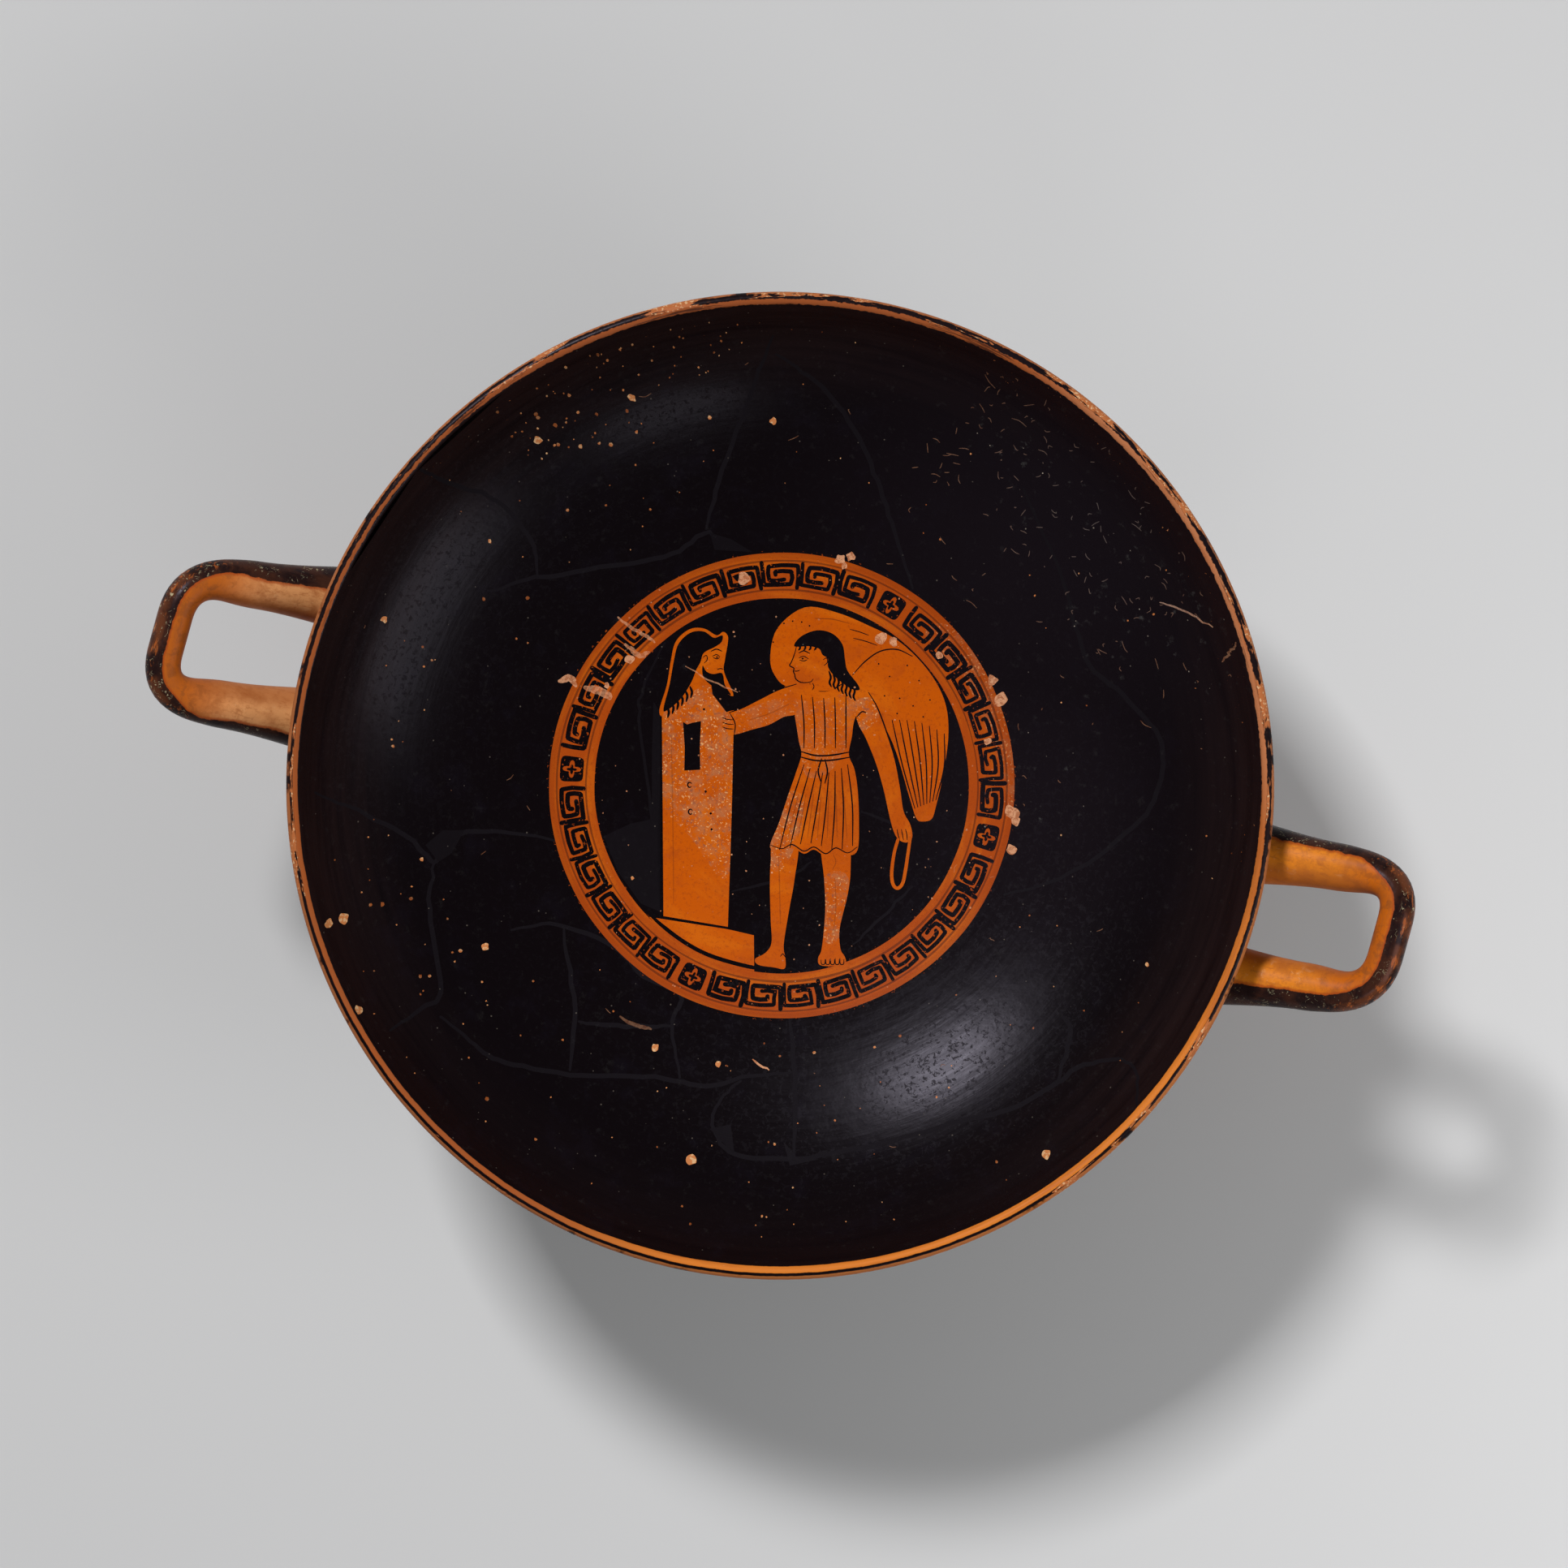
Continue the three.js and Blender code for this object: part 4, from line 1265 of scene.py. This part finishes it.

# The lip's clay is painted lit orange at the bottom, half-shaded tan at the right and shaded brown at the
# top and left.
LIP_LIT_ORANGE = (0.58, 0.17, 0.022)
LIP_SHADED_BROWN = (0.27, 0.07, 0.02)
LIP_HALF_SHADED_TAN = (0.42, 0.16, 0.07)
LIP_STREAK = (0.32, 0.075, 0.015)
EDGE_BROWN = (0.33, 0.115, 0.04)
# Painted light and shade: orange where lit, brown where shaded and tan where half-shaded.
lip_clay = over(LIP_LIT_ORANGE, LIP_SHADED_BROWN, worn_and_shaded_side)
half_shaded_side = step_up(reach_toward(0.9, 0.44), 92.0, 108.0)
lip_clay = over(lip_clay, LIP_HALF_SHADED_TAN, times(0.8, half_shaded_side))
lip_clay = over(lip_clay, LIP_SHADED_BROWN, times(0.95, left_shaded_side))
lip_streaks = patches(2.2, 0.48, 0.66, 4.0, 0.6, vector=wheel_mm)
lip_clay = over(lip_clay, LIP_STREAK, times(lip_streaks, 0.5))
lip_clay = over(lip_clay, EDGE_BROWN, times(0.75, in_edge))
clay = over(clay, lip_clay, near_lip)

# The handles' clay: tan on the legs at one side of the cup and golden at the other, deeper orange on
# the grips, with brown stains, fine streaks along the roll, and painted shade where the roll faces into
# the loop.
LEG_TAN = (0.62, 0.27, 0.100)
LEG_GOLDEN = (0.64, 0.195, 0.014)
GRIP_ORANGE = (0.46, 0.105, 0.006)
STAIN_AND_SHADE = (0.30, 0.080, 0.018)
HANDLE_EDGE = (0.30, 0.050, 0.008)
GRIP_DIRT = (0.22, 0.062, 0.014)
SCUFFED = (0.66, 0.34, 0.15)


def stretched(along_x, along_y):
    """A place in millimetres with its noise drawn out that many times along x and y."""
    drawn_out = {"X": maths("DIVIDE", x, along_x), "Y": maths("DIVIDE", y, along_y), "Z": z}
    return node("CombineXYZ", drawn_out)["Vector"]


along_grip = clouds(stretched(1.0, 5.0), 1.0, 4.0, 0.66)
along_legs = clouds(stretched(5.0, 1.0), 1.0, 4.0, 0.66)
along_roll = value_over(along_grip, along_legs, legs)
handle_clay = over(GRIP_ORANGE, over(LEG_TAN, LEG_GOLDEN, step_up(x, -20.0, 20.0)), legs)
handle_clay = over(handle_clay, STAIN_AND_SHADE, times(patches(7.0, 0.46, 0.68, 5.0, 0.66), 0.55))
handle_clay = over(handle_clay, STAIN_AND_SHADE, times(step_up(along_roll, 0.5, 0.68), 0.45))
handle_clay = over(handle_clay, STAIN_AND_SHADE, times(0.4, legs, patches(2.0, 0.5, 0.66, 5.0, 0.72, 0.4)))
handle_clay = over(handle_clay, SCUFFED, times(0.45, legs, patches(2.6, 0.57, 0.68, 5.0, 0.72, 0.5)))
# Painted shade: brown on the side of the roll that faces into the loop.
handle_clay = over(handle_clay, STAIN_AND_SHADE, times(0.6, step_up(bare_side, 0.7, 1.15)))
handle_clay = over(handle_clay, STAIN_AND_SHADE, times(0.35, left_grip))
dirty = patches(3.0, 0.46, 0.60, 5.0, 0.7, 0.4)
handle_clay = over(handle_clay, GRIP_DIRT, times(0.6, opposite(legs), dirty))
handle_clay = over(handle_clay, HANDLE_EDGE, times(0.8, step_down(paint_edge, 0.03, 0.16)))
clay = over(clay, handle_clay, on_handles)

# The clay under lost flecks and chips is paler and grainy.
LOST_SKIN = (0.52, 0.20, 0.07)
LOST_CREAM = (0.64, 0.42, 0.22)
CHIP_SKIN = (0.40, 0.125, 0.04)
CHIP_CREAM = (0.60, 0.36, 0.19)
speckled = patches(0.8, 0.5, 0.6, 2.0, 0.5)
clay = over(clay, over(LOST_SKIN, LOST_CREAM, speckled), times(lost, 0.85))
chip_clay = over(CHIP_SKIN, CHIP_CREAM, patches(0.7, 0.56, 0.64, 2.0, 0.5))
clay = over(clay, chip_clay, times(most(chips, nicks), 0.9))

# Glaze: nearly black, bluish where thick, brown near the lip and on the handles, where it ran thin.
GLAZE_BLACK = (0.0032, 0.0019, 0.0025)
GLAZE_BLUE = (0.0042, 0.0028, 0.0044)
GLAZE_BROWN = (0.0150, 0.0078, 0.0078)
HANDLE_BROWN = (0.030, 0.0115, 0.0080)
RUBBED_BROWN = (0.105, 0.033, 0.014)
RUBBED_ORANGE = (0.34, 0.085, 0.018)
GLAZE_DUSTY = (0.0074, 0.0050, 0.0070)
mottle = patches(9.0, 0.5, 0.72, 5.0, 0.65)
glaze = over(GLAZE_BLACK, GLAZE_BLUE, mottle)
off_bottom = step_up(reach_toward(0.2, 0.98), -95.0, -30.0)
by_lip = times(step_up(from_axis, 88.0, 110.0), step_up(z, 58.0, 68.0))
by_lip = times(by_lip, plus(0.25, times(off_bottom, 0.75)))
thin_glaze = times(by_lip, patches(4.0, 0.1, 0.7, 4.0, 0.6, vector=wheel_mm))
glaze = over(glaze, GLAZE_BROWN, times(thin_glaze, 0.85))
handle_glaze = over(glaze, HANDLE_BROWN, plus(0.2, times(step_up(along_roll, 0.46, 0.64), 0.5)))
glaze_wear = times(most(rubbed, 0.25), step_up(handle_wear, 0.42, 0.60))
handle_glaze = over(handle_glaze, RUBBED_BROWN, glaze_wear)
handle_glaze = over(handle_glaze, RUBBED_ORANGE, times(rubbed, 0.8, step_up(along_roll, 0.56, 0.62)))
glaze = over(glaze, handle_glaze, on_handles)

# Dust lies in the pores of the glaze, most of it on one side.
fine_gap, fine_here, fine_size = specks(here_mm, 1.9, 0.22)
fine_edge = plus(0.05, times(fine_size, 0.15))
dusty = most(around((86.0, 38.0), 40.0), around((60.0, -2.0), 26.0), around((60.0, 78.0), 30.0))
dusty = most(times(dusty, patches(9.0, 0.42, 0.6, 3.0, 0.6)), 0.12)
dust = times(fine_here, step_down(minus(fine_gap, fine_edge), -0.05, 0.05), dusty)
dusty_side = most(around((70.0, 60.0), 90.0), around((60.0, -2.0), 60.0))
glaze = over(glaze, GLAZE_DUSTY, times(0.9, dusty_side))
films = times(patches(2.6, 0.58, 0.72, 5.0, 0.72), dusty)

# What lies over both: the thinned glaze of inner lines, the mends, lime, films, dust and scrapes.
MENDED_BLACK = (0.0060, 0.0046, 0.0060)
CRUST_PINK = (0.62, 0.30, 0.16)
CRUST_BROWN = (0.40, 0.14, 0.06)
SCRATCH_GREY = (0.30, 0.27, 0.26)
FILM_GREY = (0.35, 0.35, 0.33)
DUST_CREAM = (0.62, 0.52, 0.42)
SCRAPE_CREAM = (0.46, 0.40, 0.24)
colour = over(glaze, clay, bare)
colour = over(colour, BROWN_WASH, times(thinned, bare))
colour = over(colour, MENDED_BLACK, times(mended, step_down(bare, 0.2, 0.8)))
crust_colour = over(CRUST_PINK, CRUST_BROWN, patches(0.9, 0.45, 0.6, 4.0, 0.7))
crust_colour = over(crust_colour, SCRATCH_GREY, times(0.85, around((74.0, 62.0), 52.0)))
colour = over(colour, crust_colour, crusted)
colour = over(colour, FILM_GREY, times(films, 0.10))
colour = over(colour, DUST_CREAM, times(dust, 0.85))
colour = over(colour, SCRAPE_CREAM, times(scrapes, 0.75))
plug(gloss.inputs["Base Color"], colour)

# The glaze shines and the clay hardly does. The wheel left fine rings in both, and worn flecks of the
# glaze are duller.
GLAZE_ROUGHNESS = 0.17
CLAY_ROUGHNESS = 0.42
DULL_ROUGHNESS = 0.7
SHEEN = 0.055
SHEEN_TINT = (0.88, 0.83, 1.0)
streaks = clouds(wheel_mm, 1.3, 4.0, 0.6)
flecks = patches(1.2, 0.54, 0.60, 4.0, 0.68, 0.6)
glaze_roughness = plus(GLAZE_ROUGHNESS, times(streaks, 0.16))
glaze_roughness = plus(glaze_roughness, times(flecks, 0.15))
roughness = value_over(glaze_roughness, CLAY_ROUGHNESS, bare)
roughness = value_over(roughness, DULL_ROUGHNESS, most(mended, crusted, dust, scrapes))
plug(gloss.inputs["Roughness"], roughness)
gloss.inputs["Specular IOR Level"].default_value = SHEEN
gloss.inputs["Specular Tint"].default_value = (*SHEEN_TINT, 1)

relief = times(clouds(wheel_mm, 2.4, 3.0, 0.5), 0.035)
relief = plus(relief, times(clouds(here_mm, 5.0, 3.0), 0.05))
relief = plus(relief, times(times(clouds(here_mm, 0.7, 3.0, 0.6), bare), 0.02))
relief = minus(relief, times(most(chips, nicks, lost), 0.12))
relief = plus(relief, times(crusted, times(clouds(here_mm, 0.8, 4.0, 0.7), 0.35)))
bump = node("Bump", {"Distance": MM, "Height": relief})
plug(gloss.inputs["Normal"], bump["Normal"])
mesh.materials.append(finish)

corners = {"solid": solid_bounds, "dressed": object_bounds()}
